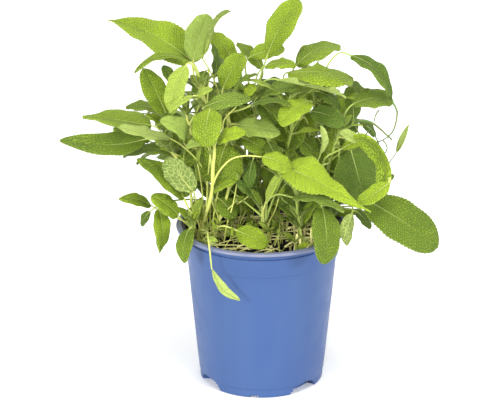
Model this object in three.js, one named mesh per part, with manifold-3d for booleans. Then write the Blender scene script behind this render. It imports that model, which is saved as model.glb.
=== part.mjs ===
// Potted sage: a bushy herb in a tapered plastic nursery pot.
// Millimetres, +Z up. The origin is the middle of the pot's underside, which stands on z = 0.
// The viewer stands at -Y, with +X to the right.
import * as THREE from 'three';
import { mergeVertices } from 'three/addons/utils/BufferGeometryUtils.js';
import Module from 'manifold-3d';

const wasm = await Module();
wasm.setup();

// Pot
const RIM_RADIUS = 60;
const POT_HEIGHT = 114.3;
const WALL = 1.4;
const FOOT_RADIUS = 43.6;
const FOOT_TOP = 6.4;
const WALL_BOTTOM_RADIUS = 44.2;
const WALL_TOP_RADIUS = 52.7;
const BAND_BOTTOM = 94.4;
const BAND_TOP = 107.6;
const BAND_RADIUS = 54.6;
const LIP_UNDERSIDE = 112.1;
const LIP_INNER_RADIUS = 55.4;
const FLOOR_TOP = 3.8;
const POT_SIDES = 42;

// Underside of the pot: a flat pad in the middle and a ring that it stands on
const PAD_RADIUS = 13;
const RING_RADII = [35, 42.6];
const UNDERSIDE_RISE = 2.2;

// Foot of the pot: moulded recesses, drain holes through the floor and low notches in the
// standing edge, by their azimuth from the front
const RECESSES = [-58.5, 44, 121.5, -136];
const RECESS_HALF_ANGLE = 15;
const RECESS_DEPTH = 6.3;
const RECESS_REACH = [28, 37];
const DRAIN_HOLES = [-69, 58, 111, -125];
const HOLE_WIDTH = 5;
const HOLE_RADII = [36.5, 42.2];
const EDGE_NOTCHES = [-7, 83, 173, -97];
const NOTCH_WIDTH = 6;
const NOTCH_RADII = [37.5, 45];
const NOTCH_HEIGHT = 2;

// Soil
const SOIL_LEVEL = 100;
const SOIL_GAP = 0.35;
const SOIL_SIDES = 30;
const SOIL_RINGS = [39, 27, 14];
const SOIL_FLOOR_RADIUS = 34.5;
const ROOT_DEPTH = 16;
const STEM_FOOT_RISE = 2.5;
const STRAW_STUBS = [[15, 24, 8], [18, 21, 13], [23, 10, 15], [27, 6, 10], [30, 9, 9], [20, -4, 6]];
const STUB_RADIUS = 0.9;
const STUB_DEPTH = 5;

// Foliage
const STEM_RADIUS = 1.7;
const STEM_TIP_RADIUS = 1.1;
const STEM_STEP = 17;
const BLADE_THICKNESS = 0.8;
const PETIOLE_HALF_WIDTH = 0.95;
const PETIOLE_THICKNESS = 1.7;
const TIP_SHARE = 0.14;
const SMALL_TIP_SHARE = 0.3;
const BLADE_STATIONS = [0, 0.12, 0.4, 0.7, 0.92, 1];
const SMALL_BLADE_STATIONS = [0, 0.18, 0.6, 1];
const SMALL_BLADE_LENGTH = 27;
const PETIOLE_STEPS = 2;
const USUAL_PETIOLE = 24;
// Shares of a stem's length that its leaves' seats are shifted by, to keep petioles' starts apart
const SEAT_SHIFT = 0.004;
const SEAT_NUDGES = { f: 0.0023, h: 0.0061 };
const CLEARANCE = 0.35;
const SEED = 20261;

// The plant is laid out as it is seen from the front, tilted down by VIEW_TILT degrees from EYE.
// A place is [across, up, back]: mm to the right of the middle of the rim and mm above it, in the
// picture plane through it, and mm behind the pot's axis.
const VIEW_TILT = 20.5;
const EYE = new THREE.Vector3(-8.2, -1405, 656.6);
const RIM_MIDDLE = new THREE.Vector3(0, 0, 112);

// Leafy stems: where each leaves the soil [x, y], then its places
const STEMS = {
  a: {
    root: [-42, 6.5],
    path: [[-40, 4, 2], [-35, 22, -2], [-34, 40, -6], [-33, 54, -8], [-37, 76, -2], [-43, 98, 2]],
  },
  b: {
    root: [-39.5, 12.5],
    path: [[-42, 5, 8], [-37, 21, 6], [-39, 34, 4], [-44, 50, 2], [-50, 66, 2], [-53, 81, 4]],
  },
  c: { root: [-47.5, 9.5], path: [[-49, 0, 4], [-49, 15, 0], [-51, 31, -4], [-58, 45, -8], [-67, 57, -8]] },
  d: {
    root: [-35, 1],
    path: [[-31, -1, -4], [-27, 12, -6], [-23, 26, -8], [-21, 43, -6], [-21, 64, -4], [-25, 83, 2]],
  },
  e: {
    root: [2, 24],
    path: [[2, 14, 22], [6, 24, 18], [13, 40, 8], [18, 55, 2], [21, 71, -4], [20, 90, -6]],
  },
  f: { root: [-8, 42], path: [[-7, 15, 42], [-11, 40, 38], [-12, 64, 32], [-14, 89, 30]] },
  g: { root: [4, 33], path: [[0, 22, 28], [-3, 47, 16], [-4, 71, 8], [-5, 90, 8]] },
  h: { root: [26, 35], path: [[27, 19, 34], [32, 43, 28], [38, 71, 20], [42, 96, 14]] },
  i: { root: [38, 12], path: [[42, 19, 10], [45, 34, 4], [49, 50, 2], [56, 69, 2]] },
  j: { root: [28, -12], path: [[25, 10, -18], [24, 22, -24], [21, 35, -28]] },
  k: { root: [-30, 34], path: [[-33, 19, 34], [-44, 38, 32], [-57, 54, 28]] },
  l: { root: [44, 17], path: [[48, 10, 14], [55, 19, 6], [60, 26, 0]] },
  m: { root: [-44, 0], path: [[-46, -4, 0], [-49, 4, -8]] },
  n: { root: [12, 44], path: [[12, 12, 48], [15, 38, 52], [20, 62, 56]] },
  o: { root: [-18, 42], path: [[-18, 18, 44], [-25, 38, 53], [-34, 56, 58]] },
  p: { root: [36, 26], path: [[37, 16, 28], [50, 32, 40], [62, 46, 46]] },
};

// Leaves that show from the front, the foremost first: stem, blade's base, its tip, width,
// degrees that the upper face is turned away from the viewer, rise of the arch as a share of the
// length, fold along the midrib in degrees, places that the petiole passes and places that the
// blade passes
const SHOWN_LEAVES = [
  ['j', [20, 45, -30], [80, 10, -44], 29, 38, 0.12, 6],
  ['j', [42, 13, -44], [44, -27, -64], 22, 22, 0.14, 4],
  ['l', [71, 19, -16], [123, -15, -34], 29, 16, 0.1, 6],
  ['j', [21, 20, -38], [58, 10, -54], 16, 60, 0.12, 8, [[4, 17, -26], [11, 22, -32]]],
  ['i', [56, 54, -12], [68, 16, -28], 22, 58, 0, 4, [[44, 47, -8]],
    [[70, 60, -16], [84, 46, -24], [84, 26, -30]]],
  ['m', [-50, -2, -26], [-54, -26, -46], 13, 25, 0.2, 6],
  ['m', [-35, -29, -54], [-15, -52, -58], 8, 32, 0.1, 8, [[-40, -3, -8], [-37, -12, -48]]],
  ['m', [-18, -3, -26], [4, -14, -38], 16, 16, 0.1, 4, [[-36, -5, -12], [-27, 0, -22]]],
  ['a', [-36, 82, -20], [-40, 59, -34], 20, 22, 0.14, 6],
  ['a', [-31, 59, -24], [-11, 65, -32], 13, 40, 0.14, 8],
  ['d', [-22, 54, -14], [-23, 31, -30], 21, 16, 0.14, 4],
  ['d', [-19, 71, -14], [13, 65, -22], 18, 42, 0.14, 6],
  ['e', [34, 87, -18], [13, 70, -34], 19, 38, 0.16, 6],
  ['d', [-8, 84, -20], [21, 84, -28], 14, 70, 0.14, 8],
  ['g', [0, 96, -14], [59, 90, -26], 20, 72, 0.16, 10],
  ['e', [18, 107, -6], [64, 103, -18], 22, 46, 0.16, 8],
  ['b', [-54, 59, -16], [-71, 74, -26], 15, 38, 0.34, 6],
  ['b', [-64, 61, -14], [-100, 69, -20], 15, 64, 0.12, 8, [[-40, 38, -4], [-47, 48, -8], [-57, 57, -12]]],
  ['m', [-54, 19, -14], [-87, 47, -24], 18, 42, 0.1, 8],
  ['c', [-49, 26, -20], [-63, 48, -28], 15, 160, 0.1, 6],
  ['a', [-53, 112, -12], [-63, 78, -22], 16, 32, 0.12, 10],
  ['a', [-50, 114, -6], [-89, 107, -14], 16, 66, 0.22, 10],
  ['a', [-49, 115, 0], [-107, 144, -5], 25, 42, 0.1, 8],
  ['c', [-93, 56, -6], [-141, 60, -14], 22, 40, 0.12, 8],
  ['c', [-77, 70, 4], [-125, 77, 8], 20, 56, 0.12, 8],
  ['c', [-60, 50, -8], [-97, 48, -14], 15, 60, 0.14, 8],
  ['m', [-58, 7, -12], [-77, 21, -20], 15, 32, 0.1, 8],
  ['m', [-72, 12, -8], [-71, -19, -16], 15, 36, 0.12, 6],
  ['m', [-77, 14, -2], [-100, 19, -6], 13, 50, 0.12, 8],
  ['g', [4, 119, 8], [26, 158, 14], 22, 25, 0.1, 10, [[-4, 91, 9], [0, 107, 9]]],
  ['d', [-40, 119, 12], [-22, 150, 22], 11, 78, 0.22, 18, [[-30, 92, 8], [-34, 104, 10]]],
  ['a', [-48, 114, 8], [-38, 148, 26], 21, 20, 0.08, 10],
  ['d', [-27, 96, 2], [-13, 120, 8], 18, 25, 0.1, 10],
  ['d', [-21, 92, -8], [-3, 106, -10], 11, 76, 0.12, 8],
  ['h', [62, 119, 8], [91, 88, -4], 18, 48, 0.2, 8, [[46, 112, 13], [55, 121, 12]]],
  ['e', [24, 112, 6], [55, 126, 10], 17, 52, 0.14, 8],
  ['g', [2, 111, 0], [24, 112, -4], 12, 58, 0.12, 8],
  ['i', [64, 85, 0], [92, 87, -4], 14, 50, 0.14, 8],
  ['e', [34, 80, -2], [58, 71, -8], 16, 32, 0.12, 6],
  ['g', [-3, 90, -4], [27, 96, -8], 14, 52, 0.12, 8],
  ['e', [4, 59, -10], [11, 40, -20], 13, 30, 0.12, 8],
  ['i', [39, 41, -18], [17, 24, -24], 17, 34, 0.12, 6],
  ['j', [41, 50, -20], [41, 70, -24], 9, 50, 0.08, 12],
  ['j', [16, 17, -8], [30, -1, -14], 16, 32, 0.12, 6],
  ['d', [0, 15, -14], [-18, 31, -18], 11, 50, 0.12, 8],
  ['d', [-34, 24, -14], [-18, 31, -20], 9, 45, 0.12, 8],
  ['d', [-7, 26, -6], [-4, 45, -6], 12, 42, 0.1, 10],
  ['a', [-38, 57, -14], [-53, 54, -18], 9, 48, 0.14, 8],
  ['b', [-46, 89, -6], [-63, 80, -10], 8, 62, 0.3, 8],
  ['l', [63, 9, -14], [59, -14, -18], 12, 146, 0.1, 8],
  ['l', [63, 48, 0], [73, 15, -10], 22, 26, 0.1, 8],
  ['l', [66, 10, 4], [76, -2, 0], 10, 40, 0.1, 8],
  ['l', [82, 22, 8], [92, 36, 12], 9, 50, 0.1, 8],
  ['i', [58, 56, 10], [53, 20, 6], 15, 35, 0.1, 8],
  ['e', [14, 53, 2], [27, 41, -4], 12, 30, 0.12, 8],
  ['h', [64, 74, 10], [60, 97, 16], 13, 30, 0.1, 8],
  ['h', [39, 94, 8], [55, 82, 6], 13, 48, 0.12, 8],
  ['e', [3, 49, 8], [-13, 64, 10], 15, 30, 0.1, 8],
  ['a', [-39, 108, 10], [-44, 86, 8], 14, 38, 0.1, 8],
  ['a', [-40, 84, 12], [-7, 89, 14], 16, 48, 0.12, 8],
  ['b', [-36, 52, 12], [-43, 31, 14], 14, 32, 0.1, 8],
  ['b', [-67, 78, 16], [-83, 110, 28], 18, 18, 0.08, 8],
  ['b', [-62, 100, 20], [-69, 112, 24], 9, 30, 0.1, 8],
  ['d', [-33, 103, 18], [-34, 127, 26], 14, 62, 0.08, 14],
  ['e', [14, 50, 14], [2, 30, 10], 18, 26, 0.12, 6],
  ['i', [50, 34, 6], [36, 12, 2], 18, 28, 0.12, 6],
  ['g', [2, 70, 14], [26, 60, 12], 18, 34, 0.12, 6],
  ['h', [40, 60, 22], [52, 36, 18], 21, 26, 0.12, 6],
  ['b', [-48, 72, 10], [-70, 60, 8], 16, 36, 0.12, 8],
  ['k', [-50, 50, 24], [-68, 30, 20], 20, 26, 0.12, 6],
  ['g', [-2, 50, 18], [-14, 78, 16], 18, 28, 0.1, 8],
  ['f', [-18, 48, 30], [-32, 24, 26], 20, 22, 0.12, 6],
  ['h', [34, 64, 26], [12, 54, 20], 18, 30, 0.12, 6],
  ['f', [-16, 81, 24], [-35, 70, 22], 18, 34, 0.12, 8],
  ['k', [-78, 59, 14], [-104, 68, 20], 14, 45, 0.1, 8],
  ['k', [-78, 10, 10], [-84, 0, 12], 8, 40, 0.1, 8],
  ['k', [-71, 80, 28], [-95, 83, 36], 14, 62, 0.1, 8],
  ['f', [-19, 113, 38], [-35, 135, 50], 16, 28, 0.1, 8],
  ['f', [0, 110, 26], [-17, 128, 36], 14, 45, 0.1, 8],
  ['g', [-8, 118, 20], [16, 124, 28], 14, 32, 0.1, 8],
  ['f', [-15, 21, 32], [-31, 8, 28], 14, 32, 0.1, 8],
  ['f', [-21, 38, 28], [-14, 20, 24], 12, 34, 0.1, 8],
];

// Leaves at the back and inside, drawn by rule: stem, how many, and the range of headings
// in plan, in degrees from +X towards the back
const DRAWN_LEAVES = [
  ['f', 3, 80, 180], ['g', 2, 40, 150], ['h', 4, 0, 100], ['k', 4, 110, 220],
  ['n', 7, 20, 140], ['o', 6, 70, 200], ['p', 5, -20, 90], ['l', 1, 0, 60], ['i', 2, 10, 80],
];
const DRAWS_PER_LEAF = 24;
// The outline of the crown in the picture that the drawn leaves' tips stay behind
const CROWN = { middle: [-6, 60], halfWidth: 86, halfHeight: 64 };
const DRAWN_BLADE_LENGTH = [34, 54];
const DRAWN_WIDTH_SHARE = 0.4;
const DRAWN_PETIOLE_LENGTH = [14, 26];
const DRAWN_ARCH = 0.13;
const DRAWN_FOLD = 8;

const PLASTIC_BLUE = 0x6886c4;
const SOIL_BLACK = 0x2a2422;
const LEAF_GREENS = [0x86a83c, 0x7a9c3a, 0x93b446, 0x6f9338, 0x9cbc50];

// One repeatable stream of numbers from 0 to 1
function makeDraw(seed) {
  let state = seed;
  return () => {
    state = (state * 48271) % 2147483647;
    return state / 2147483647;
  };
}

// The point that appears at a place of the picture and lies that far behind the pot's axis
function seen([across, up, back]) {
  const tilt = THREE.MathUtils.degToRad(VIEW_TILT);
  const onPlane = new THREE.Vector3(across, up * Math.sin(tilt), up * Math.cos(tilt)).add(RIM_MIDDLE);
  const t = (back - EYE.y) / (onPlane.y - EYE.y);
  return EYE.clone().lerp(onPlane, t);
}

// A closed mesh with shared vertices from rings of equal count. With flat sections of six points
// the upper and lower faces are split into triangles alike.
function loft(rings) {
  const sides = rings[0].length;
  const positions = rings.flat().flatMap((p) => [p.x, p.y, p.z]);
  const index = [];
  for (let i = 0; i + 1 < rings.length; i += 1) {
    for (let k = 0; k < sides; k += 1) {
      const a = i * sides + k;
      const b = i * sides + (k + 1) % sides;
      const c = a + sides;
      const d = b + sides;
      if (sides === 6 && k >= 3) index.push(a, b, c, b, d, c);
      else index.push(a, b, d, a, d, c);
    }
  }
  const cap = sides === 6 ? [[0, 1, 4], [0, 4, 5], [1, 2, 3], [1, 3, 4]] : [[0, 1, 2], [0, 2, 3]];
  const last = (rings.length - 1) * sides;
  cap.forEach(([a, b, c]) => index.push(a, c, b, last + a, last + b, last + c));
  const geometry = new THREE.BufferGeometry();
  geometry.setAttribute('position', new THREE.Float32BufferAttribute(positions, 3));
  geometry.setIndex(index);
  return geometry;
}

function toSolid(geometry) {
  const bare = new THREE.BufferGeometry();
  bare.setAttribute('position', geometry.getAttribute('position'));
  bare.setIndex(geometry.index);
  const merged = mergeVertices(bare, 1e-4);
  const { array } = merged.index;
  const triangles = [];
  for (let i = 0; i < array.length; i += 3) {
    const [a, b, c] = array.slice(i, i + 3);
    if (a !== b && b !== c && c !== a) triangles.push(a, b, c);
  }
  return new wasm.Manifold(new wasm.Mesh({
    numProp: 3,
    vertProperties: Float32Array.from(merged.getAttribute('position').array),
    triVerts: Uint32Array.from(triangles),
  }));
}

// The triangles of the largest closed surface, without the small hollows that leaves enclose
// where they grow into each other. Triangles belong together when they share an edge.
function outerTriangles(triVerts) {
  const count = triVerts.length / 3;
  const parent = Uint32Array.from({ length: count }, (_, i) => i);
  const find = (i) => {
    let top = i;
    while (parent[top] !== top) top = parent[top];
    parent[i] = top;
    return top;
  };
  const edges = new Map();
  for (let i = 0; i < triVerts.length; i += 1) {
    const triangle = Math.floor(i / 3);
    const next = triangle * 3 + ((i + 1) % 3);
    const key = [triVerts[i], triVerts[next]].sort((one, other) => one - other).join();
    if (edges.has(key)) parent[find(triangle)] = find(edges.get(key));
    else edges.set(key, triangle);
  }
  const groups = new Map();
  for (let i = 0; i < count; i += 1) {
    const top = find(i);
    if (!groups.has(top)) groups.set(top, []);
    groups.get(top).push(...triVerts.slice(3 * i, 3 * i + 3));
  }
  return [...groups.values()].reduce((one, other) => (one.length >= other.length ? one : other));
}

function toMesh(name, solid, color, roughness) {
  const { vertProperties, triVerts } = solid.getMesh();
  const triangles = outerTriangles(triVerts);
  const geometry = new THREE.BufferGeometry();
  geometry.setAttribute('position', new THREE.BufferAttribute(Float32Array.from(vertProperties), 3));
  geometry.setIndex(new THREE.BufferAttribute(Uint32Array.from(triangles), 1));
  geometry.computeVertexNormals();
  const mesh = new THREE.Mesh(geometry, new THREE.MeshStandardMaterial({ color, roughness, metalness: 0 }));
  mesh.name = name;
  return mesh;
}

const smooth = (from, to, value) => THREE.MathUtils.smoothstep(value, from, to);

// A profile of [radius, z] points turned about the pot's axis, standing up along +Z
function turned(profile, sides) {
  const geometry = new THREE.LatheGeometry(profile.map(([r, z]) => new THREE.Vector2(r, z)), sides);
  return geometry.rotateX(Math.PI / 2);
}

// Moves every vertex by a function of its radius, azimuth from the front and height
function reshape(geometry, change) {
  const position = geometry.getAttribute('position');
  for (let i = 0; i < position.count; i += 1) {
    const x = position.getX(i);
    const y = position.getY(i);
    const radius = Math.hypot(x, y);
    const azimuth = THREE.MathUtils.radToDeg(Math.atan2(x, -y));
    const [newRadius, z] = change(radius, azimuth, position.getZ(i));
    const scale = radius > 0 ? newRadius / radius : 1;
    position.setXYZ(i, x * scale, y * scale, z);
  }
  return geometry;
}

// The inner face of the pot's wall at a height
const innerRadius = (z) => THREE.MathUtils.mapLinear(
  z, FOOT_TOP, BAND_BOTTOM, WALL_BOTTOM_RADIUS - WALL, WALL_TOP_RADIUS - WALL);

// How deep the foot's recesses go in at an azimuth
function recessDepth(azimuth) {
  return Math.max(...RECESSES.map((center) => {
    const off = Math.abs(((azimuth - center + 540) % 360) - 180);
    return RECESS_DEPTH * (1 - smooth(RECESS_HALF_ANGLE * 0.5, RECESS_HALF_ANGLE, off));
  }));
}

// A box across the foot, between two radii, from under the pot up to a height
function footBox(azimuth, width, [near, far], top) {
  const box = new THREE.BoxGeometry(width, far - near, 2 * top);
  box.translate(0, -(far + near) / 2, 0);
  return toSolid(box.rotateZ(THREE.MathUtils.degToRad(azimuth)));
}

function makePot() {
  const [ringInner, ringOuter] = RING_RADII;
  const profile = [
    [0, 0], [PAD_RADIUS, 0], [PAD_RADIUS + 2, UNDERSIDE_RISE], [ringInner - 2, UNDERSIDE_RISE],
    [ringInner, 0], [ringOuter, 0], [FOOT_RADIUS, 1],
    [FOOT_RADIUS, FOOT_TOP - 0.2], [WALL_BOTTOM_RADIUS, FOOT_TOP + 0.4],
    [WALL_TOP_RADIUS, BAND_BOTTOM], [WALL_TOP_RADIUS + 0.8, BAND_BOTTOM + 0.7],
    [BAND_RADIUS, BAND_TOP], [BAND_RADIUS - 0.6, BAND_TOP + 0.6],
    [BAND_RADIUS, LIP_UNDERSIDE], [RIM_RADIUS - 0.8, LIP_UNDERSIDE], [RIM_RADIUS, LIP_UNDERSIDE + 0.8],
    [RIM_RADIUS - 0.6, POT_HEIGHT], [LIP_INNER_RADIUS, POT_HEIGHT],
    [innerRadius(POT_HEIGHT - 1.6), POT_HEIGHT - 1.6], [innerRadius(FOOT_TOP + 1.5), FOOT_TOP + 1.5],
    [WALL_BOTTOM_RADIUS - WALL - 0.6, FLOOR_TOP], [0, FLOOR_TOP],
  ];
  const shell = reshape(turned(profile, POT_SIDES), (radius, azimuth, z) => {
    const low = 1 - smooth(2, FOOT_TOP + 1, z);
    const outer = smooth(...RECESS_REACH, radius);
    return [radius - recessDepth(azimuth) * low * outer, z];
  });
  const holes = DRAIN_HOLES.map((azimuth) => footBox(azimuth, HOLE_WIDTH, HOLE_RADII, FLOOR_TOP + 1));
  const notches = EDGE_NOTCHES.map((azimuth) => footBox(azimuth, NOTCH_WIDTH, NOTCH_RADII, NOTCH_HEIGHT));
  return [...holes, ...notches].reduce((pot, cut) => pot.subtract(cut), toSolid(shell));
}

function soilHeight(radius, azimuth) {
  const turn = THREE.MathUtils.degToRad(azimuth);
  return SOIL_LEVEL + 0.9 * Math.sin(3 * turn + radius / 9) + 0.6 * Math.sin(5 * turn - radius / 6) - 0.4;
}

function makeSoil() {
  const edge = (z) => innerRadius(z) - SOIL_GAP - 0.25;
  const profile = [
    [0, FLOOR_TOP + SOIL_GAP], [SOIL_FLOOR_RADIUS, FLOOR_TOP + SOIL_GAP],
    [edge(FOOT_TOP + 3.6), FOOT_TOP + 3.6],
    ...[edge(SOIL_LEVEL), ...SOIL_RINGS, 0].map((r) => [r, SOIL_LEVEL]),
  ];
  const body = reshape(turned(profile, SOIL_SIDES), (radius, azimuth, z) => (
    [radius, z < SOIL_LEVEL - 1 || radius === 0 ? z : soilHeight(radius, azimuth)]));
  let soil = toSolid(body);
  STRAW_STUBS.forEach(([x, y, height]) => {
    soil = soil.add(toSolid(post(x, y, STUB_RADIUS, SOIL_LEVEL - STUB_DEPTH, SOIL_LEVEL + height)));
  });
  Object.values(STEMS).forEach(({ root: [x, y] }) => {
    const hole = post(x, y, STEM_RADIUS + SOIL_GAP, SOIL_LEVEL - ROOT_DEPTH - SOIL_GAP, SOIL_LEVEL + 3);
    soil = soil.subtract(toSolid(hole));
  });
  return soil;
}

// Four corners of a square section
function squareRing(middle, side, front, radius) {
  return [[1, 1], [-1, 1], [-1, -1], [1, -1]].map(([u, v]) => middle.clone()
    .addScaledVector(side, u * radius * Math.SQRT1_2)
    .addScaledVector(front, v * radius * Math.SQRT1_2));
}

function post(x, y, radius, bottom, top) {
  const side = new THREE.Vector3(1, 0, 0);
  const front = new THREE.Vector3(0, 1, 0);
  return loft([bottom, top].map((z) => squareRing(new THREE.Vector3(x, y, z), side, front, radius)));
}

// A stem's curve above the soil, straight up for its first few millimetres
function stemCurve({ root: [x, y], path }) {
  const foot = new THREE.Vector3(x, y, SOIL_LEVEL + STEM_FOOT_RISE);
  return new THREE.CatmullRomCurve3([foot, ...path.map(seen)], false, 'centripetal');
}

function makeStem(stem) {
  const curve = stemCurve(stem);
  const steps = Math.max(3, Math.round(curve.getLength() / STEM_STEP));
  const side = new THREE.Vector3(1, 0, 0);
  const front = new THREE.Vector3(0, 1, 0);
  const foot = curve.getPoint(0);
  const below = foot.clone().setZ(SOIL_LEVEL - ROOT_DEPTH);
  const rings = [squareRing(below, side, front, STEM_RADIUS)];
  for (let i = 0; i <= steps; i += 1) {
    const t = i / steps;
    if (i > 0) {
      const tangent = curve.getTangentAt(t);
      side.addScaledVector(tangent, -side.dot(tangent)).normalize();
      front.crossVectors(tangent, side);
    }
    const radius = THREE.MathUtils.lerp(STEM_RADIUS, STEM_TIP_RADIUS, t);
    rings.push(squareRing(curve.getPointAt(t), side, front, radius));
  }
  return loft(rings);
}

// Half the blade's width at a share of its length, as a share of the full half width
const bladeOutline = (t) => Math.sqrt(1 - (2 * t ** 0.92 - 1) ** 2);

// The upper face's direction of a blade that is seen turned away from the viewer by some degrees
function facing(base, tip, turn) {
  const chord = tip.clone().sub(base).normalize();
  const toViewer = EYE.clone().sub(base);
  toViewer.addScaledVector(chord, -toViewer.dot(chord)).normalize();
  const upward = new THREE.Vector3().crossVectors(chord, toViewer);
  if (upward.z < 0) upward.negate();
  const angle = THREE.MathUtils.degToRad(turn);
  return toViewer.multiplyScalar(Math.cos(angle)).addScaledVector(upward, Math.sin(angle));
}

// The place along a stem that a petiole to this blade grows from: about USUAL_PETIOLE away,
// below the blade and in line with it. Leaves are numbered, and each number shifts the seat a
// little, so that no two petioles start at the same point.
function findSeat(stem, base, bladeStart, number) {
  const curve = stemCurve(STEMS[stem]);
  const shift = SEAT_SHIFT * ((number * 7) % 11) + (SEAT_NUDGES[stem] ?? 0);
  let best = null;
  for (let i = 4; i <= 20; i += 1) {
    const t = i / 20 - shift;
    const point = curve.getPointAt(t);
    const reach = base.clone().sub(point);
    const length = reach.length();
    const bend = 1 - reach.dot(bladeStart) / length;
    const cost = Math.abs(length - USUAL_PETIOLE) * 0.5 + bend * 22 + (reach.z < 3 ? 18 : 0);
    if (!best || cost < best.cost) best = { cost, point, upStem: curve.getTangentAt(t) };
  }
  return best;
}

// Stations along a leaf, from its seat on the stem to its tip
function leafStations(leaf) {
  const { number, stem, base, tip, width, normal, arch, fold, past, along } = leaf;
  const length = base.distanceTo(tip);
  const knee = base.clone().lerp(tip, 0.5).addScaledVector(normal, 2 * arch * length);
  const blade = along.length
    ? new THREE.CatmullRomCurve3([base, ...along, tip], false, 'centripetal')
    : new THREE.QuadraticBezierCurve3(base, knee, tip);
  const bladeStart = blade.getTangent(0);
  const seat = findSeat(stem, past.length ? past[0] : base, bladeStart, number);
  const reach = seat.point.distanceTo(base);
  const petiole = past.length
    ? new THREE.CatmullRomCurve3([seat.point, ...past, base], false, 'centripetal')
    : new THREE.CubicBezierCurve3(
      seat.point, seat.point.clone().addScaledVector(seat.upStem, 0.12 * reach),
      base.clone().addScaledVector(bladeStart, -0.35 * reach), base);
  const steps = PETIOLE_STEPS + 2 * past.length;
  const stations = [];
  for (let i = 0; i < steps; i += 1) {
    const t = i / steps;
    stations.push({
      middle: petiole.getPointAt(t), tangent: petiole.getTangentAt(t),
      half: PETIOLE_HALF_WIDTH, thickness: PETIOLE_THICKNESS, fold: 0, slim: true,
    });
  }
  const petioleCount = stations.length;
  const isSmall = length < SMALL_BLADE_LENGTH;
  const tipShare = isSmall ? SMALL_TIP_SHARE : TIP_SHARE;
  (isSmall ? SMALL_BLADE_STATIONS : BLADE_STATIONS).forEach((t) => {
    const least = t < 0.5 ? PETIOLE_HALF_WIDTH : (width / 2) * tipShare;
    stations.push({
      middle: blade.getPoint(t), tangent: blade.getTangent(t),
      half: Math.max((width / 2) * bladeOutline(t), least),
      thickness: t === 0 ? PETIOLE_THICKNESS * 0.8 : BLADE_THICKNESS,
      fold: t === 1 ? 0 : fold,
      slim: t === 0,
    });
  });
  setFrames(stations, petioleCount, normal);
  return { stations, petioleCount };
}

// Each station's face direction: the blade's own at its base, carried on along it and back down
// the petiole
function setFrames(stations, petioleCount, normal) {
  const across = (direction, tangent) => direction.clone()
    .addScaledVector(tangent, -direction.dot(tangent)).normalize();
  for (let i = petioleCount; i < stations.length; i += 1) {
    const before = i === petioleCount ? normal : stations[i - 1].normal;
    stations[i].normal = across(before, stations[i].tangent);
  }
  for (let i = petioleCount - 1; i >= 0; i -= 1) {
    stations[i].normal = across(stations[i + 1].normal, stations[i].tangent);
  }
}

// A section of a leaf: six points on the blade, upper side first, and four where it is slim,
// with the places of the two middle points taken by its corners
function leafRing({ middle, tangent, normal, half, thickness, fold, slim }, grow) {
  const side = new THREE.Vector3().crossVectors(tangent, normal);
  const lift = Math.sin(THREE.MathUtils.degToRad(fold));
  const reach = (half + grow) * Math.cos(THREE.MathUtils.degToRad(fold));
  const at = (u, v) => middle.clone().addScaledVector(side, u * reach)
    .addScaledVector(normal, (slim ? 0 : Math.abs(u) * half * lift) + v * (thickness / 2 + grow));
  const [upper, lower] = slim ? [at(-1, 0.9), at(1, -0.9)] : [at(0, 1), at(0, -1)];
  return [at(-1, 0.9), upper, at(1, 0.9), at(1, -0.9), lower, at(-1, -0.9)];
}

const leafGeometry = (stations, grow = 0) => loft(stations.map((station) => leafRing(station, grow)));

// The small shifts that a shown leaf may take to pass clear of its neighbours: its base and tip
// move along the line of sight, so it looks the same from the front
const SHIFTS = [0, 5, -5, 10, -10, 16, -16, 22, -22];

function* shownCandidates([stem, base, tip, width, turn, arch, fold, past = [], along = []], number) {
  for (const baseShift of SHIFTS.slice(0, 5)) {
    for (const tipShift of SHIFTS) {
      const from = seen([base[0], base[1], base[2] + baseShift]);
      const to = seen([tip[0], tip[1], tip[2] + baseShift + tipShift]);
      yield {
        number, stem, base: from, tip: to, width, normal: facing(from, to, turn), arch, fold,
        past: past.map(seen), along: along.map(seen),
      };
    }
  }
}

// Where a point appears in the picture, as [across, up]
function picturePlace(point) {
  const tilt = THREE.MathUtils.degToRad(VIEW_TILT);
  const ahead = new THREE.Vector3(0, Math.cos(tilt), -Math.sin(tilt));
  const upright = new THREE.Vector3(0, Math.sin(tilt), Math.cos(tilt));
  const sight = point.clone().sub(EYE);
  const scale = RIM_MIDDLE.clone().sub(EYE).dot(ahead) / sight.dot(ahead);
  const onPlane = EYE.clone().addScaledVector(sight, scale).sub(RIM_MIDDLE);
  return [onPlane.x, onPlane.dot(upright)];
}

function insideCrown(point) {
  const [across, up] = picturePlace(point);
  const { middle, halfWidth, halfHeight } = CROWN;
  return Math.hypot((across - middle[0]) / halfWidth, (up - middle[1]) / halfHeight) < 1;
}

const pick = (draw, [from, to]) => from + (to - from) * draw();

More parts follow.
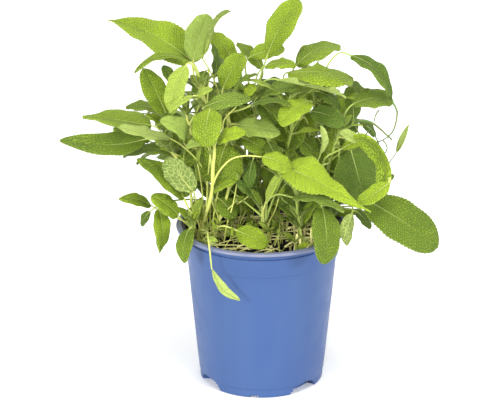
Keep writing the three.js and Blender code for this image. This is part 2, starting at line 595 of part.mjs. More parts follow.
function* drawnCandidates(stem, fromHeading, toHeading, number, draw) {
  const curve = stemCurve(STEMS[stem]);
  for (let i = 0; i < DRAWS_PER_LEAF; i += 1) {
    const seat = curve.getPointAt(pick(draw, [0.4, 1]));
    const heading = THREE.MathUtils.degToRad(pick(draw, [fromHeading, toHeading]));
    const rise = THREE.MathUtils.degToRad(pick(draw, [25, 70]));
    const droop = THREE.MathUtils.degToRad(pick(draw, [15, 75]));
    const petiole = pick(draw, DRAWN_PETIOLE_LENGTH);
    const length = pick(draw, DRAWN_BLADE_LENGTH);
    const away = (angle) => new THREE.Vector3(
      Math.cos(heading) * Math.cos(angle), Math.sin(heading) * Math.cos(angle), Math.sin(angle));
    const base = seat.clone().addScaledVector(away(rise), petiole);
    const direction = away(rise - droop);
    const tip = base.clone().addScaledVector(direction, length);
    const inward = new THREE.Vector3(-0.35 * Math.cos(heading), -0.35 * Math.sin(heading), 1);
    inward.x += pick(draw, [-0.5, 0.5]);
    inward.y += pick(draw, [-0.5, 0.5]);
    const normal = inward.addScaledVector(direction, -inward.dot(direction)).normalize();
    if (!insideCrown(tip)) continue;
    yield {
      number, stem, base, tip, width: length * DRAWN_WIDTH_SHARE, normal,
      arch: DRAWN_ARCH, fold: DRAWN_FOLD, past: [], along: [],
    };
  }
}

// What has been placed, as solids to keep clear of
const placed = [];

function place(node, kind, solid) {
  const { min, max } = solid.boundingBox();
  placed.push({ node, kind, solid, min, max });
}

function touches(solid, skip) {
  const { min, max } = solid.boundingBox();
  return placed.some((other) => !skip(other)
    && [0, 1, 2].every((i) => min[i] < other.max[i] && max[i] > other.min[i])
    && solid.intersect(other.solid).volume() > 0);
}

function isClear(node, stations, petioleCount) {
  const blade = toSolid(leafGeometry(stations.slice(petioleCount), CLEARANCE));
  if (touches(blade, () => false)) return false;
  const petiole = toSolid(leafGeometry(stations.slice(0, petioleCount + 1), CLEARANCE));
  if (touches(petiole, (other) => other.node === node && other.kind !== 'blade')) return false;
  if (petioleCount > PETIOLE_STEPS) return true;
  const free = toSolid(leafGeometry(stations.slice(1, petioleCount + 1)));
  return !touches(free, (other) => other.node !== node);
}

function placeLeaf(candidates) {
  for (const leaf of candidates) {
    const { stations, petioleCount } = leafStations(leaf);
    if (isClear(leaf.stem, stations, petioleCount)) {
      place(leaf.stem, 'blade', toSolid(leafGeometry(stations.slice(petioleCount))));
      place(leaf.stem, 'root', toSolid(leafGeometry(stations.slice(0, 2))));
      place(leaf.stem, 'petiole', toSolid(leafGeometry(stations.slice(1, petioleCount + 1))));
      return toSolid(leafGeometry(stations));
    }
  }
  return null;
}

const pot = makePot();
const soil = makeSoil();
place('pot', 'pot', pot);
place('soil', 'soil', soil);

const foliage = {};
Object.entries(STEMS).forEach(([key, stem]) => {
  foliage[key] = [toSolid(makeStem(stem))];
  place(key, 'stem', foliage[key][0]);
});

SHOWN_LEAVES.forEach((row, number) => {
  const leaf = placeLeaf(shownCandidates(row, number));
  if (leaf) foliage[row[0]].push(leaf);
});

const draw = makeDraw(SEED);
DRAWN_LEAVES.forEach(([stem, count, fromHeading, toHeading]) => {
  for (let i = 0; i < count; i += 1) {
    const leaf = placeLeaf(drawnCandidates(stem, fromHeading, toHeading, i, draw));
    if (leaf) foliage[stem].push(leaf);
  }
});

const group = new THREE.Group();
group.add(toMesh('pot', pot, PLASTIC_BLUE, 0.45));
group.add(toMesh('soil', soil, SOIL_BLACK, 0.95));
Object.entries(foliage).forEach(([key, solids], i) => {
  const leafyStem = solids.reduce((whole, solid) => whole.add(solid));
  group.add(toMesh(`leafy_stem_${key}`, leafyStem, LEAF_GREENS[i % LEAF_GREENS.length], 0.8));
});

export default group;
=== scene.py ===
"""Potted sage: the looks of the plant, its soil and its nursery pot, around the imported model.

The plant's layout repeats the formulas of the part's source, in millimetres. Everything that is
made here is in metres.
"""
import math
import random

import bmesh
import bpy
import numpy as np
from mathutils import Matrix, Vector, kdtree


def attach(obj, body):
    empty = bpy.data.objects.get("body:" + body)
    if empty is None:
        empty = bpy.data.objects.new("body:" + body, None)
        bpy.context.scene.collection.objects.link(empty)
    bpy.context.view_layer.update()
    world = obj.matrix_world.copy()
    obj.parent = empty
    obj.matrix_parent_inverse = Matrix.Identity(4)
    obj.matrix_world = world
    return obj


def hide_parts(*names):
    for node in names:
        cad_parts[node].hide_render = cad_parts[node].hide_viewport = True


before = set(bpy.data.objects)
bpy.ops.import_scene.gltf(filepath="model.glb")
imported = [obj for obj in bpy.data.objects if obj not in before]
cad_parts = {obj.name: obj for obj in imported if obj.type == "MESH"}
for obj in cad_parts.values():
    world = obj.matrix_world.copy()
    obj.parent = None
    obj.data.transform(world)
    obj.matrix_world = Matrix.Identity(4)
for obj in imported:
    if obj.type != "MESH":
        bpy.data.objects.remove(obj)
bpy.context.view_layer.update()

bl_info = {
    "name": "Potted sage",
    "version": (1, 0, 0),
    "blender": (4, 5, 0),
    "location": "View3D > Sidebar > Sage",
    "description": "A bushy sage plant in a plastic nursery pot",
    "category": "Add Mesh",
}

MM = 0.001

# The layout of the plant, as the part's source gives it

RIM_MIDDLE = np.array((0.0, 0.0, 112.0))
EYE = np.array((-8.2, -1405.0, 656.6))
VIEW_TILT = math.radians(20.5)
SOIL_LEVEL = 100
STEM_FOOT_RISE = 2.5
ROOT_DEPTH = 16
STEM_RADIUS = 1.7
STEM_TIP_RADIUS = 1.1
# The finer stems' thickness as a share of the solids', and the stems that are paler and thicker
STEM_SHARE = 0.66
PALE_STEMS = {"a": 1.25, "b": 1.1, "c": 1.0, "d": 1.1, "m": 1.2}
BACK_STEMS = "efghknop"
TIP_SHARE = 0.14
SMALL_TIP_SHARE = 0.3
BLADE_THICKNESS = 0.8
SMALL_BLADE_LENGTH = 27
USUAL_PETIOLE = 24
SEAT_SHIFT = 0.004
SEAT_NUDGES = {"f": 0.0023, "h": 0.0061}
SEED = 20261

# What only the finer leaves have: a blunt base, notches in the margin, slanting side veins
BASE_SHARE = 0.07
MARGIN_NOTCH = 0.94
VEIN_SLANT = 0.62
GOLDEN_ANGLE = math.radians(137.5)
PETIOLE_RADIUS = 0.7
PETIOLE_FLARE = 0.57
# The raised midrib under a blade goes on from the petiole, for this share of the blade
RIB_RADIUS = 0.6
RIB_REACH = 0.55
TWIG_RADIUS = 0.45
HAIR_RADIUS = 0.05
STUB_RADIUS = 0.85
KNOT_LENGTH = 1.6
KNOT_SWELLING = 0.3
# How pale the stalks are: up to 0 is their greener colour, from 1 on the palest
STEM_TONE, PALE_STEM_TONE = 0.35, 1.3
PETIOLE_TONE, PALE_PETIOLE_TONE = 0.3, 0.65

# Seeds of the random draws that the part's source doesn't make
BACK_LOOKS_SEED = 5
SOIL_SEED = 11
LITTER_SEED = 23
TENDRILS_SEED = 31

# Leafy stems: where each leaves the soil, then its places as [across, up, back]
STEMS = {
    "a": ((-42, 6.5), (
        (-40, 4, 2), (-35, 22, -2), (-34, 40, -6), (-33, 54, -8), (-37, 76, -2), (-43, 98, 2))),
    "b": ((-39.5, 12.5), (
        (-42, 5, 8), (-37, 21, 6), (-39, 34, 4), (-44, 50, 2), (-50, 66, 2), (-53, 81, 4))),
    "c": ((-47.5, 9.5), ((-49, 0, 4), (-49, 15, 0), (-51, 31, -4), (-58, 45, -8), (-67, 57, -8))),
    "d": ((-35, 1), (
        (-31, -1, -4), (-27, 12, -6), (-23, 26, -8), (-21, 43, -6), (-21, 64, -4), (-25, 83, 2))),
    "e": ((2, 24), (
        (2, 14, 22), (6, 24, 18), (13, 40, 8), (18, 55, 2), (21, 71, -4), (20, 90, -6))),
    "f": ((-8, 42), ((-7, 15, 42), (-11, 40, 38), (-12, 64, 32), (-14, 89, 30))),
    "g": ((4, 33), ((0, 22, 28), (-3, 47, 16), (-4, 71, 8), (-5, 90, 8))),
    "h": ((26, 35), ((27, 19, 34), (32, 43, 28), (38, 71, 20), (42, 96, 14))),
    "i": ((38, 12), ((42, 19, 10), (45, 34, 4), (49, 50, 2), (56, 69, 2))),
    "j": ((28, -12), ((25, 10, -18), (24, 22, -24), (21, 35, -28))),
    "k": ((-30, 34), ((-33, 19, 34), (-44, 38, 32), (-57, 54, 28))),
    "l": ((44, 17), ((48, 10, 14), (55, 19, 6), (60, 26, 0))),
    "m": ((-44, 0), ((-46, -4, 0), (-49, 4, -8))),
    "n": ((12, 44), ((12, 12, 48), (15, 38, 52), (20, 62, 56))),
    "o": ((-18, 42), ((-18, 18, 44), (-25, 38, 53), (-34, 56, 58))),
    "p": ((36, 26), ((37, 16, 28), (50, 32, 40), (62, 46, 46))),
}

# Leaves that show from the front: stem, blade's base, tip, width, degrees that the upper face is
# turned away, arch, fold, places that the petiole passes and places that the blade passes
SHOWN_LEAVES = (
    ("j", (20, 45, -30), (80, 10, -44), 29, 38, 0.12, 6),
    ("j", (42, 13, -44), (44, -27, -64), 22, 22, 0.14, 4),
    ("l", (71, 19, -16), (123, -15, -34), 29, 16, 0.1, 6),
    ("j", (21, 20, -38), (58, 10, -54), 16, 60, 0.12, 8, ((4, 17, -26), (11, 22, -32))),
    ("i", (56, 54, -12), (68, 16, -28), 22, 58, 0, 4, ((44, 47, -8),),
     ((70, 60, -16), (84, 46, -24), (84, 26, -30))),
    ("m", (-50, -2, -26), (-54, -26, -46), 13, 25, 0.2, 6),
    ("m", (-35, -29, -54), (-15, -52, -58), 8, 32, 0.1, 8, ((-40, -3, -8), (-37, -12, -48))),
    ("m", (-18, -3, -26), (4, -14, -38), 16, 16, 0.1, 4, ((-36, -5, -12), (-27, 0, -22))),
    ("a", (-36, 82, -20), (-40, 59, -34), 20, 22, 0.14, 6),
    ("a", (-31, 59, -24), (-11, 65, -32), 13, 40, 0.14, 8),
    ("d", (-22, 54, -14), (-23, 31, -30), 21, 16, 0.14, 4),
    ("d", (-19, 71, -14), (13, 65, -22), 18, 42, 0.14, 6),
    ("e", (34, 87, -18), (13, 70, -34), 19, 38, 0.16, 6),
    ("d", (-8, 84, -20), (21, 84, -28), 14, 70, 0.14, 8),
    ("g", (0, 96, -14), (59, 90, -26), 20, 72, 0.16, 10),
    ("e", (18, 107, -6), (64, 103, -18), 22, 46, 0.16, 8),
    ("b", (-54, 59, -16), (-71, 74, -26), 15, 38, 0.34, 6),
    ("b", (-64, 61, -14), (-100, 69, -20), 15, 64, 0.12, 8,
     ((-40, 38, -4), (-47, 48, -8), (-57, 57, -12))),
    ("m", (-54, 19, -14), (-87, 47, -24), 18, 42, 0.1, 8),
    ("c", (-49, 26, -20), (-63, 48, -28), 15, 160, 0.1, 6),
    ("a", (-53, 112, -12), (-63, 78, -22), 16, 32, 0.12, 10),
    ("a", (-50, 114, -6), (-89, 107, -14), 16, 66, 0.22, 10),
    ("a", (-49, 115, 0), (-107, 144, -5), 25, 42, 0.1, 8),
    ("c", (-93, 56, -6), (-141, 60, -14), 22, 40, 0.12, 8),
    ("c", (-77, 70, 4), (-125, 77, 8), 20, 56, 0.12, 8),
    ("c", (-60, 50, -8), (-97, 48, -14), 15, 60, 0.14, 8),
    ("m", (-58, 7, -12), (-77, 21, -20), 15, 32, 0.1, 8),
    ("m", (-72, 12, -8), (-71, -19, -16), 15, 36, 0.12, 6),
    ("m", (-77, 14, -2), (-100, 19, -6), 13, 50, 0.12, 8),
    ("g", (4, 119, 8), (26, 158, 14), 22, 25, 0.1, 10, ((-4, 91, 9), (0, 107, 9))),
    ("d", (-40, 119, 12), (-22, 150, 22), 11, 78, 0.22, 18, ((-30, 92, 8), (-34, 104, 10))),
    ("a", (-48, 114, 8), (-38, 148, 26), 21, 20, 0.08, 10),
    ("d", (-27, 96, 2), (-13, 120, 8), 18, 25, 0.1, 10),
    ("d", (-21, 92, -8), (-3, 106, -10), 11, 76, 0.12, 8),
    ("h", (62, 119, 8), (91, 88, -4), 18, 48, 0.2, 8, ((46, 112, 13), (55, 121, 12))),
    ("e", (24, 112, 6), (55, 126, 10), 17, 52, 0.14, 8),
    ("g", (2, 111, 0), (24, 112, -4), 12, 58, 0.12, 8),
    ("i", (64, 85, 0), (92, 87, -4), 14, 50, 0.14, 8),
    ("e", (34, 80, -2), (58, 71, -8), 16, 32, 0.12, 6),
    ("g", (-3, 90, -4), (27, 96, -8), 14, 52, 0.12, 8),
    ("e", (4, 59, -10), (11, 40, -20), 13, 30, 0.12, 8),
    ("i", (39, 41, -18), (17, 24, -24), 17, 34, 0.12, 6),
    ("j", (41, 50, -20), (41, 70, -24), 9, 50, 0.08, 12),
    ("j", (16, 17, -8), (30, -1, -14), 16, 32, 0.12, 6),
    ("d", (0, 15, -14), (-18, 31, -18), 11, 50, 0.12, 8),
    ("d", (-34, 24, -14), (-18, 31, -20), 9, 45, 0.12, 8),
    ("d", (-7, 26, -6), (-4, 45, -6), 12, 42, 0.1, 10),
    ("a", (-38, 57, -14), (-53, 54, -18), 9, 48, 0.14, 8),
    ("b", (-46, 89, -6), (-63, 80, -10), 8, 62, 0.3, 8),
    ("l", (63, 9, -14), (59, -14, -18), 12, 146, 0.1, 8),
    ("l", (63, 48, 0), (73, 15, -10), 22, 26, 0.1, 8),
    ("l", (66, 10, 4), (76, -2, 0), 10, 40, 0.1, 8),
    ("l", (82, 22, 8), (92, 36, 12), 9, 50, 0.1, 8),
    ("i", (58, 56, 10), (53, 20, 6), 15, 35, 0.1, 8),
    ("e", (14, 53, 2), (27, 41, -4), 12, 30, 0.12, 8),
    ("h", (64, 74, 10), (60, 97, 16), 13, 30, 0.1, 8),
    ("h", (39, 94, 8), (55, 82, 6), 13, 48, 0.12, 8),
    ("e", (3, 49, 8), (-13, 64, 10), 15, 30, 0.1, 8),
    ("a", (-39, 108, 10), (-44, 86, 8), 14, 38, 0.1, 8),
    ("a", (-40, 84, 12), (-7, 89, 14), 16, 48, 0.12, 8),
    ("b", (-36, 52, 12), (-43, 31, 14), 14, 32, 0.1, 8),
    ("b", (-67, 78, 16), (-83, 110, 28), 18, 18, 0.08, 8),
    ("b", (-62, 100, 20), (-69, 112, 24), 9, 30, 0.1, 8),
    ("d", (-33, 103, 18), (-34, 127, 26), 14, 62, 0.08, 14),
    ("e", (14, 50, 14), (2, 30, 10), 18, 26, 0.12, 6),
    ("i", (50, 34, 6), (36, 12, 2), 18, 28, 0.12, 6),
    ("g", (2, 70, 14), (26, 60, 12), 18, 34, 0.12, 6),
    ("h", (40, 60, 22), (52, 36, 18), 21, 26, 0.12, 6),
    ("b", (-48, 72, 10), (-70, 60, 8), 16, 36, 0.12, 8),
    ("k", (-50, 50, 24), (-68, 30, 20), 20, 26, 0.12, 6),
    ("g", (-2, 50, 18), (-14, 78, 16), 18, 28, 0.1, 8),
    ("f", (-18, 48, 30), (-32, 24, 26), 20, 22, 0.12, 6),
    ("h", (34, 64, 26), (12, 54, 20), 18, 30, 0.12, 6),
    ("f", (-16, 81, 24), (-35, 70, 22), 18, 34, 0.12, 8),
    ("k", (-78, 59, 14), (-104, 68, 20), 14, 45, 0.1, 8),
    ("k", (-78, 10, 10), (-84, 0, 12), 8, 40, 0.1, 8),
    ("k", (-71, 80, 28), (-95, 83, 36), 14, 62, 0.1, 8),
    ("f", (-19, 113, 38), (-35, 135, 50), 16, 28, 0.1, 8),
    ("f", (0, 110, 26), (-17, 128, 36), 14, 45, 0.1, 8),
    ("g", (-8, 118, 20), (16, 124, 28), 14, 32, 0.1, 8),
    ("f", (-15, 21, 32), (-31, 8, 28), 14, 32, 0.1, 8),
    ("f", (-21, 38, 28), (-14, 20, 24), 12, 34, 0.1, 8),
)

# The look of each of those leaves, in the same order, as LOOKS gives them. Each tone follows how
# bright the leaf looks, so it is partly the leaf's own colour and partly painted light and shade
SHOWN_LOOKS = (
    "xnnoynqbyxmgbnpygpmwlyynmmyyyybgymdmymcon"
    "dqdcbcggpdddnmddmnomyddmmmmmdmdmmmdmyyydd"
)

# Blades that differ from the usual form, by row: taper to the base and to the tip, fold in
# degrees, waviness, downward roll of the margins
BLADE_FORMS = {
    0: (0.42, 1.5, 14, 1.3, 0.15), 1: (0.5, 0.52, 8, 0.8, 0.1), 2: (0.55, 0.46, 6, 0.7, 0.02),
    4: (0.5, 0.6, 34, 1.4, 0.3), 6: (1.3, 0.8, 20, 0.6, 0.0), 7: (0.52, 0.5, 6, 0.7, 0.12),
    10: (0.5, 0.5, 6, 0.9, 0.16), 14: (0.7, 0.7, 32, 1.0, 0.2), 15: (0.55, 0.5, 6, 1.8, 0.25),
    22: (0.45, 1.1, 12, 0.7, 0.05), 23: (0.6, 0.62, 10, 0.45, 0.12), 24: (0.5, 0.95, 20, 0.6, 0.2),
    27: (0.6, 0.95, 10, 0.8, 0.1), 28: (0.6, 0.85, 10, 0.6, 0.1), 29: (0.72, 0.5, 10, 0.8, 0.05),
    30: (0.9, 0.8, 34, 0.8, 0.1), 31: (0.6, 0.55, 12, 0.9, 0.1), 34: (0.6, 0.75, 26, 1.2, 0.35),
    42: (0.8, 0.7, 36, 0.8, 0.1), 49: (0.7, 0.8, 14, 0.9, 0.1),
}

# The width of some fine blades as a share of their row's
BLADE_WIDTHS = {
    0: 1.06, 2: 1.08, 4: 0.66, 8: 1.1, 10: 1.75, 14: 0.85, 15: 1.1, 19: 1.35, 21: 0.62, 22: 1.36,
    24: 1.3, 30: 1.25, 34: 0.9, 35: 1.3, 37: 1.42, 50: 1.7,
}

# Where the fine blade starts, what it goes through and where it ends, by row. None stands for
# the row's own base or tip
BLADE_BENDS = {
    0: ((16.9, 41.2, -30), ((33.7, 33.5, -37), (52.0, 23.5, -42)), (76.6, 10.15, -44)),
    6: (None, ((-32.0, -36.5, -57), (-26.5, -45.0, -58.5)), None),
    8: (None, ((-38.6, 70.5, -28),), (-38.8, 55.0, -34)),
    10: ((-24.8, 57.5, -8), ((-29.3, 43.3, -12),), (-28.3, 26.6, -14)),
    11: (None, ((-3.5, 68.6, -20),), None),
    14: ((10.6, 102.2, -16), ((37.8, 96.3, -22),), None),
    15: (None, ((40.6, 107.5, -13),), None),
    17: (None, ((-81.4, 64.6, -17),), None),
    19: ((-48.7, 25.1, -21), ((-58.0, 36.5, -26),), (-65.5, 48.5, -28)),
    23: ((-80.5, 60.5, -4), ((-97.0, 57.0, -8), (-114.0, 56.6, -11)), None),
    24: (None, ((-102.4, 74.0, 6),), None),
    30: ((-41.5, 117.0, 3), ((-37.0, 131.0, 2), (-30.5, 143.5, 9)), None),
    50: ((62.3, 52.4, -4), (), (72.7, 15.4, -12)),
}

# How far the finer stem bows towards the viewer at its places, in mm
STEM_BOWS = {"a": (5, 13, 13, 12, 4, 0)}

# Where petioles rise from the soil instead of from their stem, by row
FROM_SOIL = {3: (3.0, 4.0, -20), 44: (1.5, 3.0, -19)}

# Leaves at the back, which the part's source draws by chance: stem, how many, and between which
# headings in degrees
DRAWN_LEAVES = (
    ("f", 3, 80, 180), ("g", 2, 40, 150), ("h", 4, 0, 100), ("k", 4, 110, 220),
    ("n", 7, 20, 140), ("o", 6, 70, 200), ("p", 5, -20, 90), ("l", 1, 0, 60), ("i", 2, 10, 80),
)
DRAWS_PER_LEAF = 24
# The oval of the picture that a drawn leaf's tip stays in
CROWN_MIDDLE = (-6, 60)
CROWN_HALF = (86, 64)
# How far back a leaf may be moved to clear its neighbours, in the order of trial
SHIFTS = (0, 5, -5, 10, -10, 16, -16, 22, -22)


# Paths

def catmull_rom(points):
    """A smooth curve through points, as a function of its share from 0 to 1."""
    points = [np.asarray(p, float) for p in points]
    last = len(points) - 1

    def place(share):
        walked = last * share
        i = min(int(math.floor(walked)), last - 1)
        weight = walked - i
        p1, p2 = points[i], points[i + 1]
        p0 = points[i - 1] if i > 0 else 2 * points[0] - points[1]
        p3 = points[i + 2] if i + 2 <= last else 2 * points[last] - points[last - 1]
        d0, d1, d2 = (math.sqrt(np.linalg.norm(a - b)) for a, b in ((p0, p1), (p1, p2), (p2, p3)))
        d0 = d0 if d0 > 1e-4 else d1
        d2 = d2 if d2 > 1e-4 else d1
        t1 = ((p1 - p0) / d0 - (p2 - p0) / (d0 + d1) + (p2 - p1) / d1) * d1
        t2 = ((p2 - p1) / d1 - (p3 - p1) / (d1 + d2) + (p3 - p2) / d2) * d1
        c2 = -3 * p1 + 3 * p2 - 2 * t1 - t2
        c3 = 2 * p1 - 2 * p2 + t1 + t2
        return p1 + t1 * weight + c2 * weight ** 2 + c3 * weight ** 3

    return place


def bezier(points):
    """A Bezier curve with these control points, as a function of its share from 0 to 1."""
    points = [np.asarray(p, float) for p in points]
    degree = len(points) - 1

    def place(share):
        return sum(
            math.comb(degree, i) * (1 - share) ** (degree - i) * share ** i * p
            for i, p in enumerate(points)
        )

    return place


class Path:
    """A curve in millimetres that can also be walked by its length."""

    DIVISIONS = 200

    def __init__(self, place):
        self.place = place
        self.walked = None

    def measure(self):
        """Walks the curve once and keeps how far along each division is."""
        if self.walked is None:
            self.shares = np.linspace(0, 1, self.DIVISIONS + 1)
            places = np.array([self.place(s) for s in self.shares])
            steps = np.linalg.norm(np.diff(places, axis=0), axis=1)
            self.walked = np.concatenate(([0.0], np.cumsum(steps)))

    def length(self):
        self.measure()
        return self.walked[-1]

    def share_at(self, walked_share):
        """The curve's own share at a share of its length."""
        self.measure()
        return float(np.interp(walked_share * self.walked[-1], self.walked, self.shares))

    def at(self, walked_share):
        return self.place(self.share_at(walked_share))

    def tangent(self, share):
        before, after = max(share - 1e-4, 0), min(share + 1e-4, 1)
        return unit(self.place(after) - self.place(before))

    def tangent_at(self, walked_share):
        return self.tangent(self.share_at(walked_share))


def unit(vector):
    """The vector at a length of one."""
    return vector / np.linalg.norm(vector)


def square_to(direction, tangent):
    """direction, turned to be at right angles to tangent."""
    return unit(direction - tangent * np.dot(direction, tangent))


def seen(place):
    """The point that appears at a place of the picture, that far behind the pot's axis."""
    across, up, back = place
    offset = np.array((across, up * math.sin(VIEW_TILT), up * math.cos(VIEW_TILT)))
    on_plane = RIM_MIDDLE + offset
    share = (back - EYE[1]) / (on_plane[1] - EYE[1])
    return EYE + (on_plane - EYE) * share


def picture_place(point):
    """Where a point appears in the picture, across and up."""
    ahead = np.array((0, math.cos(VIEW_TILT), -math.sin(VIEW_TILT)))
    upright = np.array((0, math.sin(VIEW_TILT), math.cos(VIEW_TILT)))
    sight = point - EYE
    scale = np.dot(RIM_MIDDLE - EYE, ahead) / np.dot(sight, ahead)
    on_plane = EYE + sight * scale - RIM_MIDDLE
    return on_plane[0], np.dot(on_plane, upright)


def stem_path(key, bows=None):
    """A stem's curve. bows: how far it comes towards the viewer at each of its places."""
    (x, y), places = STEMS[key]
    bows = bows or (0,) * len(places)
    foot = np.array((x, y - bows[0] / 2, SOIL_LEVEL + STEM_FOOT_RISE), float)
    shown = [seen((across, up, back - bow)) for (across, up, back), bow in zip(places, bows)]
    return Path(catmull_rom([foot, *shown]))


def blank_width(share):
    """The blank blade's half width at a share of its length, blunt at both ends."""
    outline = math.sqrt(max(0.0, 1 - (2 * share ** 0.92 - 1) ** 2))
    return max(outline, BASE_SHARE if share < 0.5 else TIP_SHARE)


def facing(base, tip, turn):
    """The upper face's direction of a blade turned away from the viewer by some degrees."""
    chord = unit(tip - base)
    to_viewer = square_to(EYE - base, chord)
    upward = np.cross(chord, to_viewer)
    if upward[2] < 0:
        upward = -upward
    angle = math.radians(turn)
    return to_viewer * math.cos(angle) + upward * math.sin(angle)


class Leaf:
    """One leaf of the layout: its blade's curve, width and face, and where it grows from."""

    def __init__(self, number, stem, base, tip, width, normal, arch, fold, past=(), along=()):
        self.number, self.stem = number, stem
        self.base, self.tip, self.width, self.normal = base, tip, width, normal
        self.arch, self.fold = arch, math.radians(fold)
        self.past, self.along = list(past), list(along)
        self.length = float(np.linalg.norm(tip - base))
        knee = base + (tip - base) * 0.5 + normal * 2 * arch * self.length
        place = catmull_rom([base, *self.along, tip]) if self.along else bezier([base, knee, tip])
        self.blade = Path(place)
        self.look = "m"

    def tip_corners(self):
        """The corners of the solid's last section, which show whether this leaf was placed."""
        small = self.length < SMALL_BLADE_LENGTH
        stations = (0, 0.18, 0.6, 1) if small else (0, 0.12, 0.4, 0.7, 0.92, 1)
        normal = self.normal
        for share in stations:
            tangent = self.blade.tangent(share)
            normal = square_to(normal, tangent)
        half = self.width / 2 * (SMALL_TIP_SHARE if small else TIP_SHARE)
        side = np.cross(tangent, normal)
        middle = self.blade.place(1)
        return [
            middle + side * u * half + normal * v * BLADE_THICKNESS / 2
            for u in (-1, 1) for v in (-0.9, 0.9)
        ]

    def find_seat(self, path):
        """Where the petiole leaves the stem: (share of the stem, point, direction)."""
        shift = SEAT_SHIFT * ((self.number * 7) % 11) + SEAT_NUDGES.get(self.stem, 0)
        towards = self.past[0] if self.past else self.base
        start = self.blade.tangent(0)
        best = None
        for i in range(4, 21):
            share = i / 20 - shift
            point = path.at(share)
            reach = towards - point
            length = np.linalg.norm(reach)
            bend = 1 - np.dot(reach, start) / length
            cost = abs(length - USUAL_PETIOLE) * 0.5 + bend * 22 + (18 if reach[2] < 3 else 0)
            if best is None or cost < best[0]:
                best = (cost, share, point)
        return best[1], best[2], path.tangent_at(best[1])

    def petiole(self, path):
        """The share of the stem where the petiole starts, and the petiole's curve."""
        share, seat, up_stem = self.find_seat(path)
        if self.number in FROM_SOIL:
            share, seat = 0.0, seen(FROM_SOIL[self.number])
        if self.past:
            return share, Path(catmull_rom([seat, *self.past, self.base]))
        reach = np.linalg.norm(self.base - seat)
        return share, Path(bezier([
            seat, seat + up_stem * 0.12 * reach,
            self.base - self.blade.tangent(0) * 0.35 * reach, self.base,
        ]))


def node_tree(key):
    """A search tree of the corners of a leafy stem's solid, in millimetres."""
    corners = corners_of(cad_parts[f"leafy_stem_{key}"].data) / MM
    tree = kdtree.KDTree(len(corners))
    for i, corner in enumerate(corners):
        tree.insert(corner, i)
    tree.balance()
    return tree


def was_placed(leaf, tree):
    """Whether the solid holds this leaf, by the corners of its tip."""
    found = sum(tree.find(corner)[2] < 0.03 for corner in leaf.tip_corners())
    return found >= 3


def shown_candidates(number, row):
    """The places that a shown leaf may have, as the part's source tries them."""
    stem, base, tip, width, turn, arch, fold = row[:7]
    past = [seen(p) for p in (row[7] if len(row) > 7 else ())]
    along = [seen(p) for p in (row[8] if len(row) > 8 else ())]
    for base_shift in SHIFTS[:5]:
        for tip_shift in SHIFTS:
            start = seen((base[0], base[1], base[2] + base_shift))
            end = seen((tip[0], tip[1], tip[2] + base_shift + tip_shift))
            normal = facing(start, end, turn)
            yield Leaf(number, stem, start, end, width, normal, arch, fold, past, along)


def draws(seed):
    """The random numbers of the part's source, from 0 to 1."""
    state = seed
    while True:
        state = state * 48271 % 2147483647
        yield state / 2147483647


def drawn_candidates(stem, number, first_heading, last_heading, draw):
    """The places that a leaf at the back may have, as the part's source draws them."""
    path = stem_path(stem)

    def pick(low, high):
        return low + (high - low) * next(draw)

    for _ in range(DRAWS_PER_LEAF):
        seat = path.at(pick(0.4, 1))
        heading = math.radians(pick(first_heading, last_heading))
        rise = math.radians(pick(25, 70))
        droop = math.radians(pick(15, 75))
        petiole = pick(14, 26)
        length = pick(34, 54)
        ahead = (math.cos(heading), math.sin(heading))

        def away(angle):
            flat = math.cos(angle)
            return np.array((ahead[0] * flat, ahead[1] * flat, math.sin(angle)))

        base = seat + away(rise) * petiole
        direction = away(rise - droop)
        tip = base + direction * length
        inward = np.array((-0.35 * ahead[0], -0.35 * ahead[1], 1.0))
        inward[0] += pick(-0.5, 0.5)
        inward[1] += pick(-0.5, 0.5)
        normal = square_to(inward, direction)
        across, up = picture_place(tip)
        off = math.hypot((across - CROWN_MIDDLE[0]) / CROWN_HALF[0],
                         (up - CROWN_MIDDLE[1]) / CROWN_HALF[1])
        if off < 1:
            yield Leaf(number, stem, base, tip, length * 0.4, normal, 0.13, 8)


def find_leaves():
    """The leaves that the solids hold, by stem. A few drawn ones found no room there."""
    trees = {key: node_tree(key) for key in STEMS}
    leaves = {key: [] for key in STEMS}
    for number, row in enumerate(SHOWN_LEAVES):
        candidates = shown_candidates(number, row)
        leaf = next((c for c in candidates if was_placed(c, trees[row[0]])), None)
        if leaf is None:
            raise RuntimeError(f"The solids don't hold the leaf of row {number}")
        leaf.look = SHOWN_LOOKS[number]
        if number in BLADE_BENDS:
            start, bends, end = BLADE_BENDS[number]
            leaf.base = seen(start) if start else leaf.base
            leaf.tip = seen(end) if end else leaf.tip
            leaf.blade = Path(catmull_rom([leaf.base, *(seen(p) for p in bends), leaf.tip]))
        leaves[row[0]].append(leaf)
    draw = draws(SEED)
    looks = random.Random(BACK_LOOKS_SEED)
    for stem, count, first_heading, last_heading in DRAWN_LEAVES:
        for number in range(count):
            candidates = drawn_candidates(stem, number, first_heading, last_heading, draw)
            leaf = next((c for c in candidates if was_placed(c, trees[stem])), None)
            if leaf:
                leaf.look = looks.choice("mmdbgm")
                leaves[stem].append(leaf)
    return leaves


# Making and shaping pieces

def edit_mode():
    bpy.ops.object.mode_set(mode="EDIT")


def object_mode():
    bpy.ops.object.mode_set(mode="OBJECT")


def pick_all():
    bpy.ops.mesh.select_all(action="SELECT")


def apply_place():
    bpy.ops.object.transform_apply(location=True, rotation=True, scale=True)


def deselect_all():
    """Leaves edit mode and selects nothing."""
    if bpy.context.mode != "OBJECT":
        object_mode()
    bpy.ops.object.select_all(action="DESELECT")


def select_only(*objects):
    deselect_all()
    for ob in objects:
        ob.select_set(True)
    bpy.context.view_layer.objects.active = objects[0]


def pick_corners(ob, wanted):
    """In edit mode, selects the corners for which wanted(co) holds."""
    bpy.ops.mesh.select_mode(type="VERT")
    bpy.ops.mesh.select_all(action="DESELECT")
    grid = bmesh.from_edit_mesh(ob.data)
    for corner in grid.verts:
        corner.select = bool(wanted(corner.co))
    grid.select_flush_mode()
    bmesh.update_edit_mesh(ob.data)


